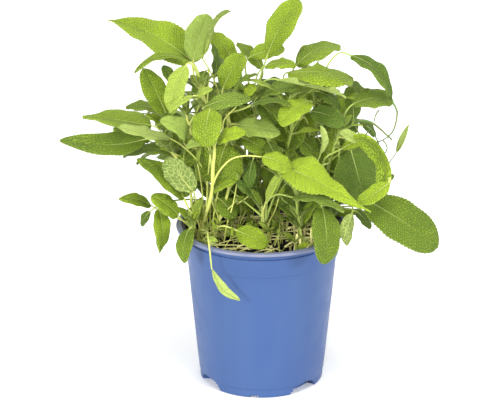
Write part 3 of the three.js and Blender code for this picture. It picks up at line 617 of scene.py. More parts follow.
def pick_faces(ob, wanted):
    """In edit mode, selects the faces for which wanted(middle, normal) holds."""
    bpy.ops.mesh.select_mode(type="FACE")
    bpy.ops.mesh.select_all(action="DESELECT")
    grid = bmesh.from_edit_mesh(ob.data)
    for face in grid.faces:
        face.select = bool(wanted(face.calc_center_median(), face.normal))
    bmesh.update_edit_mesh(ob.data)


def resize(x=1, y=1, z=1, center=(0, 0, 0)):
    bpy.ops.transform.resize(value=(x, y, z), center_override=center)


def move(x=0, y=0, z=0):
    bpy.ops.transform.translate(value=(x, y, z))


def apply_modifiers(ob):
    select_only(ob)
    for modifier in list(ob.modifiers):
        bpy.ops.object.modifier_apply(modifier=modifier.name)


def finish_piece(ob, name, slot, *nodes):
    """Names a finished piece, hangs it on the root and hides the nodes it replaces. slot is not
    used.
    """
    ob.name = name
    ob.data.name = name
    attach(ob, "root")
    if nodes:
        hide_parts(*nodes)
    return ob


def join(objects, name):
    """Joins objects into the first of them."""
    select_only(*objects)
    if len(objects) > 1:
        bpy.ops.object.join()
    whole = bpy.context.view_layer.objects.active
    whole.name = name
    return whole


def corners_of(mesh, what="co"):
    """The place or the normal of each corner, as rows of x, y and z."""
    flat = np.empty(len(mesh.vertices) * 3)
    mesh.vertices.foreach_get(what, flat)
    return flat.reshape(-1, 3)


def set_corners(mesh, places):
    mesh.vertices.foreach_set("co", np.asarray(places, float).ravel())
    mesh.update()


def smoothstep(low, high, value):
    """0 up to low, 1 from high on, and a smooth rise between them."""
    share = np.clip((value - low) / (high - low), 0, 1)
    return share * share * (3 - 2 * share)


def make_leaf_blank(name, columns, spans):
    """A blade one unit long along Y and two wide, with a thickness of one, its outline cut."""
    deselect_all()
    rows = len(spans) - 1
    bpy.ops.mesh.primitive_grid_add(x_subdivisions=2 * rows, y_subdivisions=columns, size=2)
    blank = bpy.context.object
    blank.name = name
    places = corners_of(blank.data)
    evens = sorted({round(float(y), 5) for y in places[:, 1]})
    last = len(evens) - 1
    edit_mode()
    for i, span in enumerate(spans[1:-1], 1):
        even = i / rows
        pick_corners(blank, lambda co, even=even: abs(abs(co.x) - even) < 1e-4)
        resize(x=span / even)
    for i, even in enumerate(evens):
        # The rows lie closer together near both ends
        round_share = 0.5 - 0.5 * math.cos(math.pi * i / last)
        share = 0.4 * round_share + 0.6 * i / last
        wide = blank_width(share)
        pick_corners(blank, lambda co, even=even: abs(co.y - even) < 1e-4)
        resize(x=wide)
        if i % 2 and 2 < i < last - 1:
            pick_corners(blank, lambda co, even=even, wide=wide: (
                abs(co.y - even) < 1e-4 and abs(co.x) > wide * 0.99))
            resize(x=MARGIN_NOTCH)
        # A finished row moves past the others, so that it isn't picked again
        pick_corners(blank, lambda co, even=even: abs(co.y - even) < 1e-4 and co.z == 0)
        move(y=2 * share + 3 - even)
    pick_all()
    move(y=-3)
    resize(y=0.5)
    object_mode()
    shell = blank.modifiers.new("Thickness", "SOLIDIFY")
    shell.thickness = 1
    shell.offset = 0
    apply_modifiers(blank)
    bpy.ops.object.shade_smooth()
    return blank


def make_tube_blank(name, sides, rings):
    """A closed tube one unit long along Y and one in radius."""
    deselect_all()
    bpy.ops.mesh.primitive_circle_add(vertices=sides, radius=1, fill_type="NGON",
                                      rotation=(math.pi / 2, math.pi / sides, 0))
    blank = bpy.context.object
    blank.name = name
    apply_place()
    edit_mode()
    pick_all()
    for _ in range(rings):
        bpy.ops.mesh.extrude_region_move(TRANSFORM_OT_translate={"value": (0, 1 / rings, 0)})
    pick_all()
    bpy.ops.mesh.normals_make_consistent(inside=False)
    object_mode()
    bpy.ops.object.shade_smooth()
    return blank


class Blank:
    """A made shape whose copies are laid along curves."""

    def __init__(self, ob, finish):
        self.ob = ob
        ob.data.materials.append(finish)
        self.places = corners_of(ob.data)
        self.shares, self.which = np.unique(np.round(self.places[:, 1], 5), return_inverse=True)
        self.shares = np.clip(self.shares, 0, 1)
        self.which = self.which.ravel()
        self.loops = np.empty(len(ob.data.loops), int)
        ob.data.loops.foreach_get("vertex_index", self.loops)

    def copy(self, name, places, flat, marks):
        """A copy with its own mesh. flat: each corner's place on the flat piece, in mm."""
        ob = self.ob.copy()
        ob.data = self.ob.data.copy()
        ob.name = name
        bpy.context.collection.objects.link(ob)
        mesh = ob.data
        set_corners(mesh, np.asarray(places) * MM)
        while mesh.uv_layers:
            mesh.uv_layers.remove(mesh.uv_layers[0])
        layer = mesh.uv_layers.new(name="flat")
        layer.uv.foreach_set("vector", np.asarray(flat)[self.loops].ravel())
        for mark, values in marks.items():
            attribute = mesh.attributes.new(mark, "FLOAT", "POINT")
            attribute.data.foreach_set("value", np.broadcast_to(values, len(places)).astype(float))
        return ob

    def discard(self):
        bpy.data.objects.remove(self.ob)


def frames_along(path, shares, normal):
    """Middles, sides and upper directions along a path, the normal carried on from its start."""
    middles, sides, normals = [], [], []
    for share in shares:
        tangent = path.tangent(share)
        normal = square_to(normal, tangent)
        middles.append(path.place(share))
        sides.append(np.cross(tangent, normal))
        normals.append(normal)
    return np.array(middles), np.array(sides), np.array(normals)


# What each look means: tone from dark to bright, shares of grey-green, pale and cool green
LOOKS = {
    "x": (1.05, 0.0, 0.0, 0.0), "b": (0.7, 0.0, 0.0, 0.0), "y": (0.56, 0.0, 0.0, 0.0),
    "m": (0.42, 0.04, 0.0, 0.0), "n": (0.28, 0.0, 0.0, 0.05), "d": (0.2, 0.05, 0.0, 0.2),
    "g": (0.45, 0.55, 0.05, 0.1), "o": (0.34, 0.3, 0.0, 0.1), "c": (0.32, 0.12, 0.0, 0.5),
    "p": (0.6, 0.3, 0.45, 0.0), "q": (0.9, 0.1, 0.85, 0.0), "l": (0.9, 0.0, 0.25, 0.0),
    "w": (0.1, 0.5, 0.2, 0.35),
}


def usual_form(leaf):
    """Taper to the base and to the tip, fold in degrees, waviness and downward roll."""
    slim = leaf.length / leaf.width - 2
    return (min(0.75, max(0.45, 0.5 + 0.1 * slim)), min(0.9, max(0.48, 0.56 + 0.16 * slim)),
            math.degrees(leaf.fold), 1.0, 0.1)


def width_share(share, base_taper, tip_taper):
    """A fine blade's half width at a share of its length, as a share of the widest."""
    widest = base_taper / (base_taper + tip_taper)
    share = np.clip(share, 0, 1)
    outline = (share / widest) ** base_taper * ((1 - share) / (1 - widest)) ** tip_taper
    return np.maximum(outline, np.where(share < 0.5, 0.06, 0.03))


def lay_leaf(blank, leaf, settings, rng):
    """One fine blade laid on its curve, in millimetres."""
    base_taper, tip_taper, fold, waviness, roll = BLADE_FORMS.get(leaf.number, usual_form(leaf))
    fold = math.radians(fold)
    half = leaf.width / 2 * BLADE_WIDTHS.get(leaf.number, 1)
    middles, sides, normals = frames_along(leaf.blade, blank.shares, leaf.normal)
    twist = math.radians(rng.uniform(-14, 14)) * blank.shares[:, None] ** 1.5
    sides, normals = (sides * np.cos(twist) + normals * np.sin(twist),
                      normals * np.cos(twist) - sides * np.sin(twist))
    middles, sides, normals = (a[blank.which] for a in (middles, sides, normals))
    x, y, z = blank.places.T
    side = x / np.array([blank_width(s) for s in blank.shares])[blank.which]
    span = np.clip(np.abs(side), 0, 1)
    across = side * width_share(y, base_taper, tip_taper) * half
    ahead = y * leaf.length
    middle_share = np.sin(np.pi * np.clip(y, 0, 1)) ** 0.5

    # The fold, and the swellings between the side veins
    ribs = settings.vein_spacing / MM
    slant = ahead - VEIN_SLANT * np.abs(across) + np.where(x > 0, 0, ribs / 2)
    quilt = settings.quilting / MM * np.cos(2 * np.pi * slant / ribs)
    bulge = np.sin(np.pi * np.clip(span, 0, 1)) * middle_share * min(1, half / 6)
    lift = np.abs(across) * math.sin(fold) - quilt * bulge

    # The waves and ripples of the margins, their roll, and the midrib
    waves = 1.6 + rng.random() * 1.4
    phase = 2 * np.pi * (waves * y + rng.random()) + np.where(x > 0, 1.9, 0)
    lift += 0.105 * waviness * half * span ** 2 * np.sin(phase) * middle_share
    ripple = 2 * np.pi * (4.6 * y + rng.random()) + np.where(x > 0, 2.6, 0)
    lift += 0.03 * waviness * half * span ** 3 * np.sin(ripple) * middle_share
    lift -= (roll + rng.uniform(-0.05, 0.12)) * half * span ** 3
    rib = np.exp(-(across / 0.5) ** 2) * (1 - 0.6 * y)
    lift -= np.where(z > 0, 0.22, 0.5) * rib
    thick = settings.blade_thickness / MM * (1 - 0.5 * span ** 6)
    places = (middles + sides * (across * math.cos(fold))[:, None]
              + normals * (lift + z * thick)[:, None])
    tone, grey, pale, cool = LOOKS[leaf.look]
    marks = {
        "cool": cool + rng.uniform(0, 0.08),
        "tone": tone + rng.uniform(-0.08, 0.08), "grey": grey + rng.uniform(0, 0.07), "pale": pale,
        "under": (z < 0).astype(float), "ahead": y, "span": span,
    }
    return blank.copy("leaf", places, np.stack((across, ahead), axis=1), marks)


def lay_tube(blank, path, normal, radius_at, flatness=1.0, tone=0.5):
    """A stalk along a path; radius_at gives its radius in mm at each share of the path."""
    middles, sides, normals = frames_along(path, blank.shares, normal)
    radii = np.array([radius_at(s) for s in blank.shares])[blank.which]
    middles, sides, normals = (a[blank.which] for a in (middles, sides, normals))
    x, y, z = blank.places.T
    places = middles + sides * (x * radii)[:, None] + normals * (z * radii * flatness)[:, None]
    around = np.arctan2(z, x) * radii
    length = np.linalg.norm(np.diff(middles[np.argsort(y)], axis=0), axis=1).sum()
    return blank.copy("stalk", places, np.stack((around, y * length), axis=1), {"tone": tone})


def make_hair_blank():
    """A pointed hair one unit long along Z and one in radius, standing on its base."""
    deselect_all()
    bpy.ops.mesh.primitive_cone_add(vertices=3, radius1=1, radius2=0, depth=1,
                                    end_fill_type="NGON", location=(0, 0, 0.5))
    hair = bpy.context.object
    apply_place()
    return hair


def marks_of(mesh, name):
    """A mark's value at each corner, 0 where the mesh doesn't have it."""
    values = np.zeros(len(mesh.vertices))
    if name in mesh.attributes:
        mesh.attributes[name].data.foreach_get("value", values)
    return values


def downy_hairs(ob, hair, settings, rng):
    """Fine hairs on the stalks and the blades' margins of a joined leafy stem."""
    mesh = ob.data
    places = corners_of(mesh)
    normals = corners_of(mesh, "normal")
    span, ahead = marks_of(mesh, "span"), marks_of(mesh, "ahead")
    on_stalk = (span == 0) & (ahead == 0)
    on_margin = (span > 0.99) & (ahead > 0.02)
    turns, middles = [], []
    for i in np.flatnonzero(on_stalk | on_margin):
        if rng.random() > (settings.stalk_hairs if on_stalk[i] else settings.margin_hairs):
            continue
        lean = np.array([rng.uniform(-0.6, 0.6) for _ in range(3)])
        out = unit(normals[i] + lean)
        side = unit(np.cross(out, (0.3, 0.5, 0.81)))
        length = rng.uniform(0.5, 1.1)
        across = side * HAIR_RADIUS, np.cross(out, side) * HAIR_RADIUS
        turns.append(np.stack((*across, out * length), axis=1) * MM)
        middles.append(places[i] - out * 0.0001)
    return scatter(hair, "hairs", turns, middles)


def along_both(petiole, leaf, share_of_blade):
    """One path down the petiole and on under the blade's midrib."""
    def place(share):
        if share < 0.5:
            return petiole.place(petiole.share_at(share * 2))
        on_blade = (share - 0.5) * 2 * share_of_blade
        normal = square_to(leaf.normal, leaf.blade.tangent(on_blade))
        return leaf.blade.place(on_blade) - normal * 0.5 * min(1.0, (share - 0.5) * 10)
    return Path(place)


# Materials

def linear(red, green, blue):
    """A linear colour from one as a screen shows it, 0 to 255."""
    values = (v / 255 for v in (red, green, blue))
    return (*(v / 12.92 if v <= 0.04045 else ((v + 0.055) / 1.055) ** 2.4 for v in values), 1)


class Finish:
    """A material's nodes, built in short lines. Inputs are sockets, numbers or colours."""

    def __init__(self, name):
        self.material = bpy.data.materials.new(name)
        self.material.use_nodes = True
        self.tree = self.material.node_tree
        self.shader = self.tree.nodes["Principled BSDF"]

    def put(self, node, socket, value):
        """Links a socket to an input, or sets the input's own value."""
        target = node.inputs[socket]
        if isinstance(value, bpy.types.NodeSocket):
            self.tree.links.new(value, target)
        else:
            target.default_value = value

    def add(self, kind, inputs=None, **settings):
        node = self.tree.nodes.new(kind)
        for key, value in settings.items():
            setattr(node, key, value)
        for socket, value in (inputs or {}).items():
            self.put(node, socket, value)
        return node

    def math(self, operation, *values):
        node = self.add("ShaderNodeMath", dict(enumerate(values)), operation=operation)
        return node.outputs[0]

    def plus(self, one, other):
        return self.math("ADD", one, other)

    def minus(self, one, other):
        return self.math("SUBTRACT", one, other)

    def times(self, one, other):
        return self.math("MULTIPLY", one, other)

    def most(self, one, other):
        return self.math("MAXIMUM", one, other)

    def swing(self, base, noise, amount, middle=0.5):
        """base, raised where noise is above its middle and lowered where it is below."""
        return self.plus(base, self.times(self.minus(noise, middle), amount))

    def ease(self, value, low, high, start=0.0, end=1.0):
        """start up to low, end from high on, and a smooth change between them."""
        node = self.add("ShaderNodeMapRange", {
            "Value": value, "From Min": low, "From Max": high, "To Min": start, "To Max": end,
        }, interpolation_type="SMOOTHSTEP")
        return node.outputs[0]

    def mix(self, share, one, other, blend="MIX"):
        node = self.add("ShaderNodeMix", {0: share, 6: one, 7: other},
                        data_type="RGBA", blend_type=blend)
        return node.outputs[2]

    def mark(self, name):
        """A value that the mesh keeps at its corners."""
        return self.add("ShaderNodeAttribute", attribute_name=name).outputs["Fac"]

    def place(self):
        return self.add("ShaderNodeTexCoord").outputs["Object"]

    def noise(self, vector, scale, detail=2.0, roughness=0.5):
        node = self.add("ShaderNodeTexNoise", {
            "Vector": vector, "Scale": scale, "Detail": detail, "Roughness": roughness,
        })
        return node.outputs["Fac"]

    def bump(self, height, distance, strength=1.0):
        node = self.add("ShaderNodeBump", {
            "Height": height, "Distance": distance, "Strength": strength,
        })
        self.put(self.shader, "Normal", node.outputs[0])

    def set(self, **values):
        """Sets inputs of the main shader, with _ for the spaces in their names."""
        for socket, value in values.items():
            self.put(self.shader, socket.replace("_", " "), value)


def leaf_finish(settings):
    """Velvety net-veined leaf: grooved veins above, raised pale veins below. The upper face's
    grooves carry painted shade and its swellings a painted highlight.
    """
    f = Finish("sage_leaf")
    flat = f.add("ShaderNodeUVMap", uv_map="flat").outputs[0]
    parts = f.add("ShaderNodeSeparateXYZ", {0: flat})
    x, y = parts.outputs[0], parts.outputs[1]
    place = f.place()
    wander = f.noise(place, 260, 2)
    off = f.math("ABSOLUTE", x)
    ribs = settings.vein_spacing / MM
    other_side = f.times(f.math("LESS_THAN", x, 0.0), ribs / 2)
    slant = f.plus(f.minus(y, f.times(off, VEIN_SLANT)), other_side)
    slant = f.plus(slant, f.times(wander, 1.4))
    from_rib = f.math("PINGPONG", slant, ribs / 2)
    side_vein = f.ease(from_rib, 0.0, 0.42, 1.0, 0.0)
    cell_place = f.add("ShaderNodeCombineXYZ", {0: x, 1: slant, 2: 0.0}).outputs[0]

    def network(scale, groove_width):
        """0 in the grooves of a net of veins and 1 on the swellings between them."""
        cells = f.add("ShaderNodeTexVoronoi", {
            "Vector": cell_place, "Scale": scale, "Randomness": 0.85,
        }, voronoi_dimensions="2D", feature="DISTANCE_TO_EDGE")
        return f.ease(cells.outputs["Distance"], 0.0, groove_width)

    cell, pebble = network(0.3, 0.2), network(0.63, 0.26)
    ahead, span, under = f.mark("ahead"), f.mark("span"), f.mark("under")
    grey, pale = f.mark("grey"), f.mark("pale")
    rib_half = f.minus(0.55, f.times(ahead, 0.4))
    midrib = f.ease(f.math("DIVIDE", off, rib_half), 0.5, 1.15, 1.0, 0.0)
    veins = f.most(midrib, f.times(side_vein, 0.45))
    grain = f.noise(flat, 2.4, 2)

    # The relief, turned round on the lower face
    relief = f.plus(f.times(cell, 0.3), f.times(pebble, 0.6))
    relief = f.plus(relief, f.times(grain, 0.35))
    relief = f.minus(relief, f.times(veins, 0.75))
    turned = f.minus(1.0, f.times(under, 2.0))
    f.bump(f.times(relief, turned), 0.00062, 1.0)

    # The colour of the upper face: tone first, then kinds of green, then the net in it, with
    # painted shade in its grooves on green leaves and pale hairs on pale ones
    top = f.times(pebble, f.ease(cell, 0, 1, 0.8, 1.0))
    groove = f.minus(1.0, top)
    patch = f.noise(place, 55, 3)
    tone = f.swing(f.mark("tone"), patch, 0.5)
    tone = f.swing(tone, grain, 0.5)
    # Painted highlight: the swellings between the grooves are made lighter
    tone = f.swing(tone, top, 0.16, 0.7)
    tone = f.plus(tone, f.times(f.math("POWER", span, 3.0), 0.12))
    tone = f.ease(tone, -0.05, 1.05)
    colour = f.mix(tone, settings.dark, settings.bright)
    colour = f.mix(grey, colour, settings.grey)
    colour = f.mix(f.mark("cool"), colour, f.mix(tone, settings.cool_dark, settings.cool))
    colour = f.mix(f.times(pale, 0.85), colour, settings.pale)
    # Painted shade: the leaf's colour darkened as the net's grooves would look in shade
    shadowed = f.mix(1.0, colour, settings.groove, "MULTIPLY")
    downy = f.mix(0.62, colour, settings.vein)
    net = f.mix(f.ease(f.plus(grey, pale), 0.35, 0.9, 0, 0.9), shadowed, downy)
    pit = f.times(f.minus(1.0, groove), f.ease(pale, 0.2, 0.6, 0.0, 0.6))
    colour = f.mix(pit, colour, f.mix(tone, settings.dark, settings.grey))
    # How much of the net's colour goes into the grooves: painted shade on green leaves, pale hairs
    # on pale ones
    depth = f.ease(tone, 0.2, 0.8, 0.76, 0.38)
    colour = f.mix(f.times(groove, depth), colour, net)
    # Painted shade in the hollows along the side veins
    side_vein_shade = f.times(f.ease(from_rib, 0.1, 0.9, 0.2, 0.0), f.ease(wander, 0.35, 0.6))
    colour = f.mix(side_vein_shade, colour, shadowed)
    colour = f.mix(f.times(midrib, f.ease(ahead, 0.0, 0.9, 0.66, 0.12)), colour, settings.vein)
    colour = f.mix(f.times(side_vein, 0.12), colour, settings.vein)
    colour = f.mix(f.ease(span, 0.9, 1.0, 0.0, 0.3), colour, settings.vein)

    # The colour of the lower face, whose veins stand out
    below = f.mix(tone, settings.underside, f.mix(0.5, settings.underside, colour))
    raised = f.most(f.times(groove, 0.45), f.ease(cell, 0.0, 0.9, 1.0, 0.0))
    raised = f.times(f.ease(raised, 0.15, 0.8), f.ease(pale, 0.05, 0.3, 0.4, 0.75))
    below = f.mix(raised, below, settings.vein)
    below = f.mix(f.times(veins, 0.8), below, settings.vein)
    colour = f.mix(under, colour, below)
    f.set(Base_Color=colour, Roughness=0.55, Specular_IOR_Level=0.32,
          Sheen_Weight=0.06, Sheen_Roughness=0.45, Sheen_Tint=(0.85, 0.95, 0.5, 1))

    # Some light comes through the blade
    through = f.mix(0.5, colour, linear(178, 208, 72))
    glow = f.add("ShaderNodeBsdfTranslucent", {"Color": through})
    both = f.add("ShaderNodeMixShader", {0: 0.26, 1: f.shader.outputs[0], 2: glow.outputs[0]})
    out = f.tree.nodes["Material Output"]
    f.tree.links.new(both.outputs[0], out.inputs["Surface"])
    return f.material


def stalk_finish(settings):
    """Stems and petioles: streaked along, paler where the tone is high."""
    f = Finish("sage_stalk")
    flat = f.add("ShaderNodeUVMap", uv_map="flat").outputs[0]
    stretch = f.add("ShaderNodeMapping", {"Vector": flat, "Scale": (3.0, 0.35, 1.0)}).outputs[0]
    streak = f.noise(stretch, 1.2, 3)
    patch = f.noise(f.place(), 60, 2)
    tone = f.swing(f.mark("tone"), patch, 0.6)
    colour = f.mix(f.ease(tone, 0, 1), settings.stalk_dark, settings.stalk)
    colour = f.mix(f.times(streak, 0.2), colour, settings.pale)
    fuzz = f.noise(flat, 6.0, 3)
    f.bump(f.plus(streak, f.times(fuzz, 0.5)), 0.0003, 0.6)
    f.set(Base_Color=colour, Roughness=0.6, Specular_IOR_Level=0.35,
          Sheen_Weight=0.12, Sheen_Roughness=0.5, Sheen_Tint=(0.9, 1.0, 0.6, 1),
          Subsurface_Weight=0.15, Subsurface_Radius=(0.002, 0.0025, 0.0008), Subsurface_Scale=1.0)
    return f.material


def soil_finish(settings):
    """Dark crumbly soil with fine pale specks."""
    f = Finish("potting_soil")
    place = f.place()
    coarse, fine = f.noise(place, 220, 4, 0.65), f.noise(place, 1300, 3)
    colour = f.mix(f.ease(coarse, 0.35, 0.7), settings.soil_dark, settings.soil_light)
    colour = f.mix(f.ease(fine, 0.62, 0.72, 0.0, 0.35), colour, linear(96, 78, 52))
    f.bump(f.plus(coarse, f.times(fine, 0.5)), 0.0012, 0.9)
    f.set(Base_Color=colour, Roughness=0.92, Specular_IOR_Level=0.25)
    return f.material


def straw_finish(settings):
    """Dry stalks: tone 0 is brown, 1 is pale straw."""
    f = Finish("straw")
    place = f.place()
    streak = f.noise(place, 420, 3)
    tone = f.swing(f.mark("tone"), streak, 0.7)
    colour = f.mix(f.ease(tone, 0, 1), settings.straw_dark, settings.straw)
    f.bump(f.noise(place, 1500, 2), 0.0003, 0.6)
    f.set(Base_Color=colour, Roughness=0.55, Specular_IOR_Level=0.4)
    return f.material


def hair_finish(settings):
    """Fine pale hairs."""
    f = Finish("down")
    f.set(Base_Color=f.mix(f.noise(f.place(), 300), settings.hairs, settings.vein),
          Roughness=0.5, Specular_IOR_Level=0.3)
    return f.material


def strand_finish(settings):
    """Withered thin stalks: olive with greener stretches and pale specks."""
    f = Finish("withered_stalk")
    place = f.place()
    patch = f.noise(place, 90, 2)
    colour = f.mix(f.ease(patch, 0.35, 0.65), settings.withered, settings.cool_dark)
    colour = f.mix(f.times(f.noise(place, 700, 2), 0.15), colour, settings.vein)
    f.bump(f.noise(place, 1800, 2), 0.0002, 0.6)
    f.set(Base_Color=colour, Roughness=0.6, Specular_IOR_Level=0.35)
    return f.material


def plastic_finish(name, colour, deep, roughness):
    """Moulded plastic: faint flow marks, cloudy patches and a fine grain."""
    f = Finish(name)
    place = f.place()
    drawn_out = f.add("ShaderNodeMapping", {"Vector": place, "Scale": (1.0, 1.0, 0.12)}).outputs[0]
    flow = f.noise(drawn_out, 70, 2)
    cloud = f.noise(place, 22, 2)
    shade = f.mix(f.ease(flow, 0.35, 0.75, 0.0, 0.3), colour, deep)
    shade = f.mix(f.ease(cloud, 0.4, 0.8, 0.0, 0.35), shade, deep)
    grain = f.noise(place, 2600, 2)
    f.bump(f.plus(f.times(grain, 0.3), flow), 0.00006, 0.5)
    gloss = f.ease(f.noise(place, 90, 3), 0.3, 0.8, roughness - 0.05, roughness + 0.08)
    f.set(Base_Color=shade, Roughness=gloss, Specular_IOR_Level=0.28)
    return f.material


# Sizes and colours that a user would change

def size_prop(name, description, value):
    """A length in metres."""
    return bpy.props.FloatProperty(
        name=name, description=description, default=value, min=0, unit="LENGTH", precision=4)


def count_prop(name, description, value):
    """How many there are of something, at least one."""
    return bpy.props.IntProperty(name=name, description=description, default=value, min=1)


def share_prop(name, description, value):
    """A share from 0 to 1."""
    return bpy.props.FloatProperty(
        name=name, description=description, default=value, min=0, max=1, subtype="FACTOR")


def strength_prop(name, light, value):
    """The strength of one of the stage's lights."""
    return bpy.props.FloatProperty(
        name=name, description=f"Strength of the {light}", default=value, min=0)


def colour_prop(name, description, *screen_colour):
    """A colour, given as a screen shows it."""
    return bpy.props.FloatVectorProperty(
        name=name, description=description, default=linear(*screen_colour), size=4,
        min=0, max=1, subtype="COLOR")


class SagePotSettings(bpy.types.PropertyGroup):
    rim_radius: size_prop("Rim radius", "Outer radius of the flange", 0.060)
    height: size_prop("Height", "Height of the pot", 0.1143)
    wall: size_prop("Wall", "Thickness of the wall", 0.0014)
    colour: colour_prop("Outside", "Colour of the plastic outside", 58, 84, 130)
    deep: colour_prop("Outside, deep", "Its deeper shade", 50, 74, 126)
    # Partly the flange's own grey plastic, partly a painted reflection of the lights on the flange
    lip: colour_prop("Lip", "Colour of the flange", 116, 121, 142)
    inside: colour_prop("Inside", "Colour of the inner wall", 66, 66, 74)


class SageSoilSettings(bpy.types.PropertyGroup):
    crumbs: count_prop("Crumbs", "How many loose crumbs lie on the soil", 700)
    roughness: size_prop("Roughness", "How rough the surface of the soil is", 0.0035)
    soil_dark: colour_prop("Dark", "Darkest colour of the soil", 24, 20, 20)
    soil_light: colour_prop("Light", "Lightest colour of the soil", 62, 50, 42)
    straw_dark: colour_prop("Old straw", "Colour of the oldest dry stalks", 170, 168, 78)
    straw: colour_prop("Straw", "Colour of the palest dry stalks", 244, 240, 158)
    stalks: count_prop("Dry stalks", "How many dry stalks lie on the soil", 85)
    seedlings: count_prop("Seedlings", "How many seedlings grow under the sage", 70)


class SageLeafSettings(bpy.types.PropertyGroup):
    blade_thickness: size_prop("Blade", "Thickness of a blade", 0.0005)
    vein_spacing: size_prop("Vein spacing", "Distance between side veins", 0.0046)
    quilting: size_prop("Quilting", "Height of the swellings between side veins", 0.00016)
    # Leaf tones run between Dark and Bright; the shown leaves' tones are partly their own colour
    # and partly painted light and shade
    bright: colour_prop("Bright", "Bright young leaves", 181, 207, 46)
    dark: colour_prop("Dark", "Dark older leaves", 90, 117, 22)
    grey: colour_prop("Grey-green", "Leaves with a dense coat of hairs", 182, 208, 98)
    cool: colour_prop("Cool green", "Bluer green leaves, lit", 122, 162, 66)
    cool_dark: colour_prop("Cool green, dark", "Bluer green leaves, dark", 66, 106, 42)
    pale: colour_prop("Pale", "Pale leaves and hairy surfaces", 218, 232, 148)
    # Painted shade: the colour that darkens the net's grooves on the upper face
    groove: colour_prop("Grooves", "What the sunken net does to the colour", 112, 132, 70)
    vein: colour_prop("Veins", "Midrib, veins and margin", 216, 228, 130)
    underside: colour_prop("Underside", "The lower face of the leaves", 122, 148, 70)
    stalk: colour_prop("Stalk", "Stems and petioles", 206, 212, 106)
    stalk_dark: colour_prop("Stalk, shaded", "Their greener parts", 124, 152, 54)
    withered: colour_prop("Withered", "Dry thin stalks at the right", 96, 106, 58)
    hairs: colour_prop("Hairs", "Fine hairs on stalks and margins", 226, 236, 180)
    stalk_hairs: share_prop("Hairs on stalks", "Share of the stalks' corners with a hair", 0.3)
    margin_hairs: share_prop("Hairs on margins", "Share of the margins' corners with a hair", 0.3)
    shoot_spacing: size_prop("Shoot spacing", "Distance between pairs of side shoots", 0.012)


class SageStageSettings(bpy.types.PropertyGroup):
    floor: colour_prop("Floor", "Colour of the floor", 250, 250, 251)
    left_strength: strength_prop("Left light", "soft light from the left", 2.0)
    right_strength: strength_prop("Right light", "soft light from the right", 1.6)
    top_strength: strength_prop("Top light", "soft light from above", 1.4)
    front_strength: strength_prop("Front light", "soft light from the front", 1.1)
    back_strength: strength_prop("Back light", "soft light from behind", 0.5)
    sky: strength_prop("Sky", "even light from all around", 0.75)


# Pot

FOOT_RADIUS = 43.6
FOOT_TOP = 6.4
FLOOR_TOP = 3.8
WALL_BOTTOM_RADIUS = 44.2
WALL_TOP_RADIUS = 52.7
USUAL_WALL = 1.4
# The wall's outside between its bottom and the band: radius and height
WALL_PLACES = ((45.6, 20), (47.4, 40), (49.8, 64))
BAND_BOTTOM = 94.4
BAND_TOP = 107.6
BAND_RADIUS = 54.6
LIP_UNDERSIDE = 112.1
LIP_INNER_RADIUS = 55.4
# How far under the rim the lip's inner edge meets the wall
LIP_DROP = 1.6
# The pot stands on a pad in the middle and on a ring at the edge, with a raised base between
PAD_RADIUS = 13
RING_RADIUS = 35
BASE_RISE = 2.2
# What the foot has around it, in degrees from the front
RECESSES = (-58.5, 44, 121.5, -136)
RECESS_HALF_ANGLE = 15
RECESS_DEPTH = 6.3
RECESS_FADE = (28, 37)
DRAIN_HOLES = (-69, 58, 111, -125)
EDGE_NOTCHES = (-7, 83, 173, -97)
# The size of a hole and of a notch: width, inner and outer radius, height
HOLE_SIZE = (5, 36.5, 42.2, FLOOR_TOP + 0.6)
NOTCH_SIZE = (6, 37.5, 45, 2)
POT_STEPS = 144


def rounded(points, parts=4):
    """A line through (x, z, rounding) points in mm, its corners rounded."""
    line = []
    for i, (x, z, rounding) in enumerate(points):
        here = np.array((x, z), float)
        if not rounding or i in (0, len(points) - 1):
            line.append(here)
            continue
        before = unit(np.array(points[i - 1][:2]) - here) * rounding
        after = unit(np.array(points[i + 1][:2]) - here) * rounding
        curve = bezier([here + before, here, here + after])
        line.extend(curve(k / parts) for k in range(parts + 1))
    return line


def trace(name, line):
    """A line of corners in the XZ plane, drawn by extruding one corner."""
    deselect_all()
    bpy.ops.mesh.primitive_plane_add(size=1)
    ob = bpy.context.object
    ob.name = name
    edit_mode()
    pick_all()
    bpy.ops.mesh.merge(type="CENTER")
    x, z = line[0] * MM
    move(x=x, z=z)
    for before, after in zip(line, line[1:]):
        x, z = (after - before) * MM
        bpy.ops.mesh.extrude_region_move(TRANSFORM_OT_translate={"value": (x, 0, z)})
    object_mode()
    return ob


def spin_round(ob, steps):
    """Spins a traced line about the pot's axis into a closed body."""
    select_only(ob)
    edit_mode()
    pick_all()
    bpy.ops.mesh.spin(steps=steps, angle=2 * math.pi, center=(0, 0, 0), axis=(0, 0, 1))
    pick_all()
    bpy.ops.mesh.remove_doubles(threshold=1e-6)
    bpy.ops.mesh.normals_make_consistent(inside=False)
    object_mode()


def inner_radius(z, wall):
    """The inside radius of the pot at a height."""
    share = (z - FOOT_TOP) / (BAND_BOTTOM - FOOT_TOP)
    return WALL_BOTTOM_RADIUS - wall + share * (WALL_TOP_RADIUS - WALL_BOTTOM_RADIUS)


